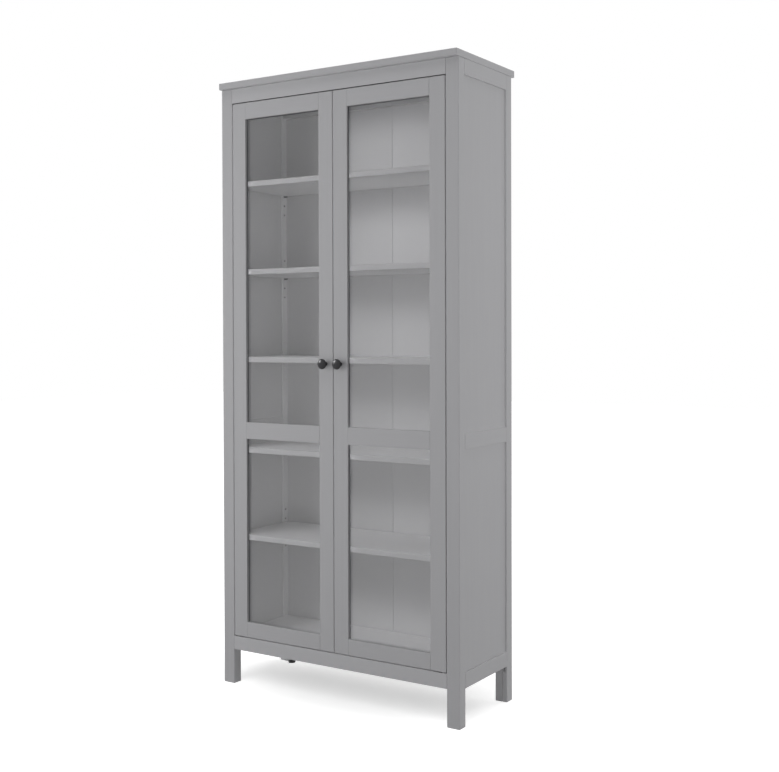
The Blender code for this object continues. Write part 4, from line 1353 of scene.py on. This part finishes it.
@dataclass
class LevellingFoot:
    """The black levelling foot: a ribbed pad, a lock nut and a threaded stem."""

    finishes: Finishes
    pad_height: float = 0.009
    pad_outline: tuple[Pair, ...] = (
        (0.88, 0.0), (0.97, 0.0006), (1.0, 0.0016), (1.0, 0.0055), (0.93, 0.0068),
    )
    pad_top: float = 0.55
    ribs: int = 24
    rib_depth: float = 0.0007
    ribbed_from: float = 0.9
    pad_steps: int = 96
    stem_radius: float = 0.004
    stem_start: float = 0.8
    stem_steps: int = 24
    pitch: float = 0.00175
    levels_in_pitch: int = 4
    thread_depth: float = 0.0006
    nut_radius: float = 0.0075
    nut_height: float = 0.005
    nut_gap: float = 0.0005
    nut_sides: int = 6

    def build(self) -> None:
        """Makes the foot as one piece on the carcass."""
        low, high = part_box("levelling_foot")
        foot = Vector(((low.x + high.x) / 2, (low.y + high.y) / 2, low.z))
        nut_top = high.z - low.z - self.nut_gap
        nut_ends = (nut_top - self.nut_height, nut_top)
        nut = [(height, [self.nut_radius] * self.nut_sides) for height in nut_ends]
        shape = bmesh.new()
        for rings in (self._pad((high.x - low.x) / 2), self._stem(high.z - low.z), nut):
            skin(shape, foot, rings)
        mesh = closed_mesh("levelling_foot_detail", shape)
        piece = set_piece(mesh, self.finishes.black, CARCASS)
        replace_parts(piece, "levelling_foot")

    def _pad(self, radius: float) -> Rings:
        """Shapes the pad, whose side has upright ribs.

        Args:
            radius: The pad's radius.

        Returns:
            The height of each ring and the reach of its points.
        """
        turns = [math.tau * step / self.pad_steps for step in range(self.pad_steps)]
        waves = [0.5 - 0.5 * math.cos(turn * self.ribs) for turn in turns]
        rings = []
        for share, height in (*self.pad_outline, (self.pad_top, self.pad_height)):
            depth = self.rib_depth if share > self.ribbed_from else 0.0
            rings.append((height, [radius * share - depth * wave for wave in waves]))
        return rings

    def _stem(self, top: float) -> Rings:
        """Shapes the stem with its screw thread.

        Args:
            top: The height of its upper end.

        Returns:
            The height of each ring and the reach of its points.
        """
        start = self.pad_height * self.stem_start
        levels = int((top - start) / (self.pitch / self.levels_in_pitch))
        rings = []
        for level in range(levels + 1):
            height = start + (top - start) * level / levels
            phases = [(height / self.pitch - step / self.stem_steps) % 1.0 for step in range(self.stem_steps)]
            depths = [self.thread_depth * (1.0 - abs(2.0 * phase - 1.0)) for phase in phases]
            rings.append((height, [self.stem_radius - depth for depth in depths]))
        return rings


@dataclass
class PaintedShadeLips:
    """Black lips round the panes, at sides and top, and a black strip in the gap over the doors: painted shade
    in the pane reveals and in the gap.
    """

    finishes: Finishes
    width: float = 0.0007
    depth: float = 0.0022
    rounding: float = 0.0002
    strip_height: float = 0.0015
    strip_inset: float = 0.0004
    strip_depth: float = 0.0018
    strip_ease: float = 0.25

    def build(self) -> list[Piece]:
        """Makes the black lips of each door as one piece, painted shade in the reveals, and the black strip of
        painted shade in the gap over the doors.

        Returns:
            The pieces on the doors.
        """
        self._gap_shade_strip()
        pieces = []
        for hand in Hand:
            shape = bmesh.new()
            word = hand.value
            hinge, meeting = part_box(f"hinge_stile_{word}"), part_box(f"meeting_stile_{word}")
            sides = (hinge[1].x, meeting[0].x) if hand is Hand.LEFT else (meeting[1].x, hinge[0].x)
            top, middle, bottom = (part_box(f"door_{level}_rail_{word}") for level in ("top", "mid", "bottom"))
            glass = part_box(f"upper_pane_{word}")[0].y
            for heights in ((middle[1].z, top[0].z), (bottom[1].z, middle[0].z)):
                self._lips(shape, sides, heights, glass)
            mesh = closed_mesh(f"painted_shade_lips_{word}", shape)
            pieces.append(set_piece(mesh, self.finishes.shade_black, hand.door))
        return pieces

    def _gap_shade_strip(self) -> None:
        """Makes the black strip that hangs in the gap over the doors, painted shade in the gap."""
        low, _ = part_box("front_top_rail")
        left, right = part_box("hinge_stile_left")[0].x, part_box("hinge_stile_right")[1].x
        front = low.y + self.strip_inset
        shape = bmesh.new()
        near = Vector((left, front, low.z - self.strip_height))
        far = Vector((right, front + self.strip_depth, low.z))
        rounded_block(shape, near, far, self.strip_height * self.strip_ease)
        set_piece(closed_mesh("gap_shade_strip", shape), self.finishes.shade_black, CARCASS)

    def _lips(self, shape: Shape, sides: Pair, heights: Pair, glass: float) -> None:
        """Adds the three black lips of an opening, painted shade in its side and top reveals.

        Args:
            shape: The shape that gets them.
            sides: The opening's left and right side.
            heights: Its bottom and top.
            glass: The front of the glass.
        """
        left, right = sides
        low, high = heights
        front = glass - self.depth
        lips = (
            (left, left + self.width, low, high),
            (right - self.width, right, low, high),
            (left + self.width, right - self.width, high - self.width, high),
        )
        for x_low, x_high, z_low, z_high in lips:
            near, far = Vector((x_low, front, z_low)), Vector((x_high, glass, z_high))
            rounded_block(shape, near, far, self.rounding)


def main() -> None:
    """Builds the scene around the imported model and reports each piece."""
    logging.basicConfig(level=logging.INFO, format="%(name)s: %(message)s")
    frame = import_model()
    bpy.context.scene.view_settings.view_transform = "Standard"
    CameraFit().build()
    finishes = Finishes()
    boards = PackedBoards(finishes, frame["nodes"])
    boards.dress()
    screws = Scatter("cross_head_screws", HardwareForms.screw_head)
    knobs = Knobs(finishes, screws).build()
    ShelfPins(finishes).build()
    FittingScrews(finishes, screws).build()
    BackNails(finishes).build()
    MagneticCatch(finishes, screws).build()
    LevellingFoot(finishes).build()
    # black lips and a black strip: painted shade in the pane reveals and in the gap over the doors
    shade_lips = PaintedShadeLips(finishes).build()
    doors = boards.doors(frame["record"]["behaviour"]["bodies"])
    Studio().build(boards, doors + shade_lips + knobs, knobs)


if __name__ == "__main__":
    main()
